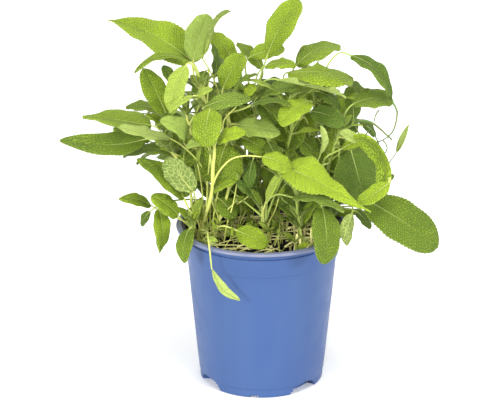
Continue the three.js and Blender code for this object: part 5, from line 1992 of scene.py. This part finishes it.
class SAGE_OT_tendrils(bpy.types.Operator):
    """Make the dry thin stalks that hang out of the foliage at the right"""
    bl_idname = "sage.tendrils"
    bl_label = "Dry tendrils"

    def execute(self, context):
        settings = context.scene.sage_leaf
        rng = random.Random(TENDRILS_SEED)
        strand = Blank(make_tube_blank("strand", 6, 24), strand_finish(settings))
        blade = Blank(make_leaf_blank("slender_blade", 24, (0, 0.14, 0.6, 1)),
                      leaf_finish(settings))
        parts = []
        for thick, places in TENDRILS:
            path = Path(catmull_rom([seen(p) for p in places]))
            parts.append(lay_tube(strand, path, np.array((0.0, -1.0, 0.3)),
                                  lambda share, r=thick: r * (1.1 - 0.45 * share),
                                  0.45 if thick > 0.8 else 1.0, 0.35))
        base, tip, width = SLENDER_LEAF
        base, tip = seen(base), seen(tip)
        leaf = Leaf(-1, "", base, tip, width, facing(base, tip, 10), 0.06, 10)
        leaf.look = "w"
        parts.append(lay_leaf(blade, leaf, settings, rng))
        finish_piece(join(parts, "dry_tendrils"), "dry_tendrils", "foliage")
        strand.discard()
        blade.discard()
        return {"FINISHED"}


# Stage

# Where each soft light comes from, and how many degrees across it looks
LIGHTS = {
    "left": ((-1.2, -1.15, 0.62), 15), "right": ((1.25, -1.0, 0.6), 15),
    "top": ((0.15, -0.45, 1.6), 26), "front": ((-0.1, -1.4, 0.5), 12),
    "back": ((0.3, 1.3, 1.0), 30),
}


class SAGE_OT_stage(bpy.types.Operator):
    """Make the camera, the floor and the soft lights"""
    bl_idname = "sage.stage"
    bl_label = "Stage"

    def soft_light(self, name, source, spread, strength):
        bpy.ops.object.light_add(type="SUN", location=source)
        light = bpy.context.object
        light.name = name
        light.data.angle = math.radians(spread)
        light.data.energy = strength
        light.rotation_euler = Vector(source).to_track_quat("Z", "Y").to_euler()

    def execute(self, context):
        settings = context.scene.sage_stage
        deselect_all()
        bpy.ops.object.camera_add(location=EYE * MM, rotation=(math.pi / 2 - VIEW_TILT, 0, 0))
        camera = context.object
        camera.name = "view"
        camera.data.sensor_width = 36
        camera.data.lens = 155.5
        context.scene.camera = camera
        bpy.ops.mesh.primitive_circle_add(vertices=64, radius=7, fill_type="NGON")
        floor = context.object
        floor.name = "floor"
        f = Finish("floor_paper")
        f.set(Base_Color=f.mix(f.noise(f.place(), 3), settings.floor, linear(254, 254, 254)),
              Roughness=0.8)
        floor.data.materials.append(f.material)
        for side, (source, spread) in LIGHTS.items():
            strength = getattr(settings, f"{side}_strength")
            self.soft_light(f"{side}_light", source, spread, strength)
        world = bpy.data.worlds.new("studio")
        world.use_nodes = True
        back = world.node_tree.nodes["Background"]
        back.inputs["Color"].default_value = (1, 1, 1, 1)
        back.inputs["Strength"].default_value = settings.sky
        context.scene.world = world
        context.scene.view_settings.view_transform = "Standard"
        return {"FINISHED"}


class SAGE_PT_parts(bpy.types.Panel):
    """The pieces of the potted sage, each with the settings it uses"""
    bl_idname = "SAGE_PT_parts"
    bl_label = "Potted sage"
    bl_space_type = "VIEW_3D"
    bl_region_type = "UI"
    bl_category = "Sage"

    def draw(self, context):
        for operator, settings in PARTS:
            box = self.layout.box()
            box.operator(operator)
            group = getattr(context.scene, settings)
            for name in group.__annotations__:
                box.prop(group, name)


PARTS = (
    ("sage.stage", "sage_stage"), ("sage.pot", "sage_pot"), ("sage.soil", "sage_soil"),
    ("sage.litter", "sage_soil"), ("sage.leafy_stems", "sage_leaf"),
    ("sage.tendrils", "sage_leaf"),
)
GROUPS = {
    "sage_pot": SagePotSettings, "sage_soil": SageSoilSettings,
    "sage_leaf": SageLeafSettings, "sage_stage": SageStageSettings,
}
CLASSES = (
    *GROUPS.values(), SAGE_OT_pot, SAGE_OT_soil, SAGE_OT_litter, SAGE_OT_leafy_stems,
    SAGE_OT_tendrils, SAGE_OT_stage, SAGE_PT_parts,
)


def register():
    for made in CLASSES:
        bpy.utils.register_class(made)
    for name, group in GROUPS.items():
        setattr(bpy.types.Scene, name, bpy.props.PointerProperty(type=group))


def unregister():
    for name in GROUPS:
        delattr(bpy.types.Scene, name)
    for made in reversed(CLASSES):
        bpy.utils.unregister_class(made)


def main():
    register()
    bpy.ops.sage.stage()
    bpy.ops.sage.pot()
    bpy.ops.sage.soil()
    bpy.ops.sage.litter()
    bpy.ops.sage.leafy_stems()
    bpy.ops.sage.tendrils()


if __name__ == "__main__":
    main()
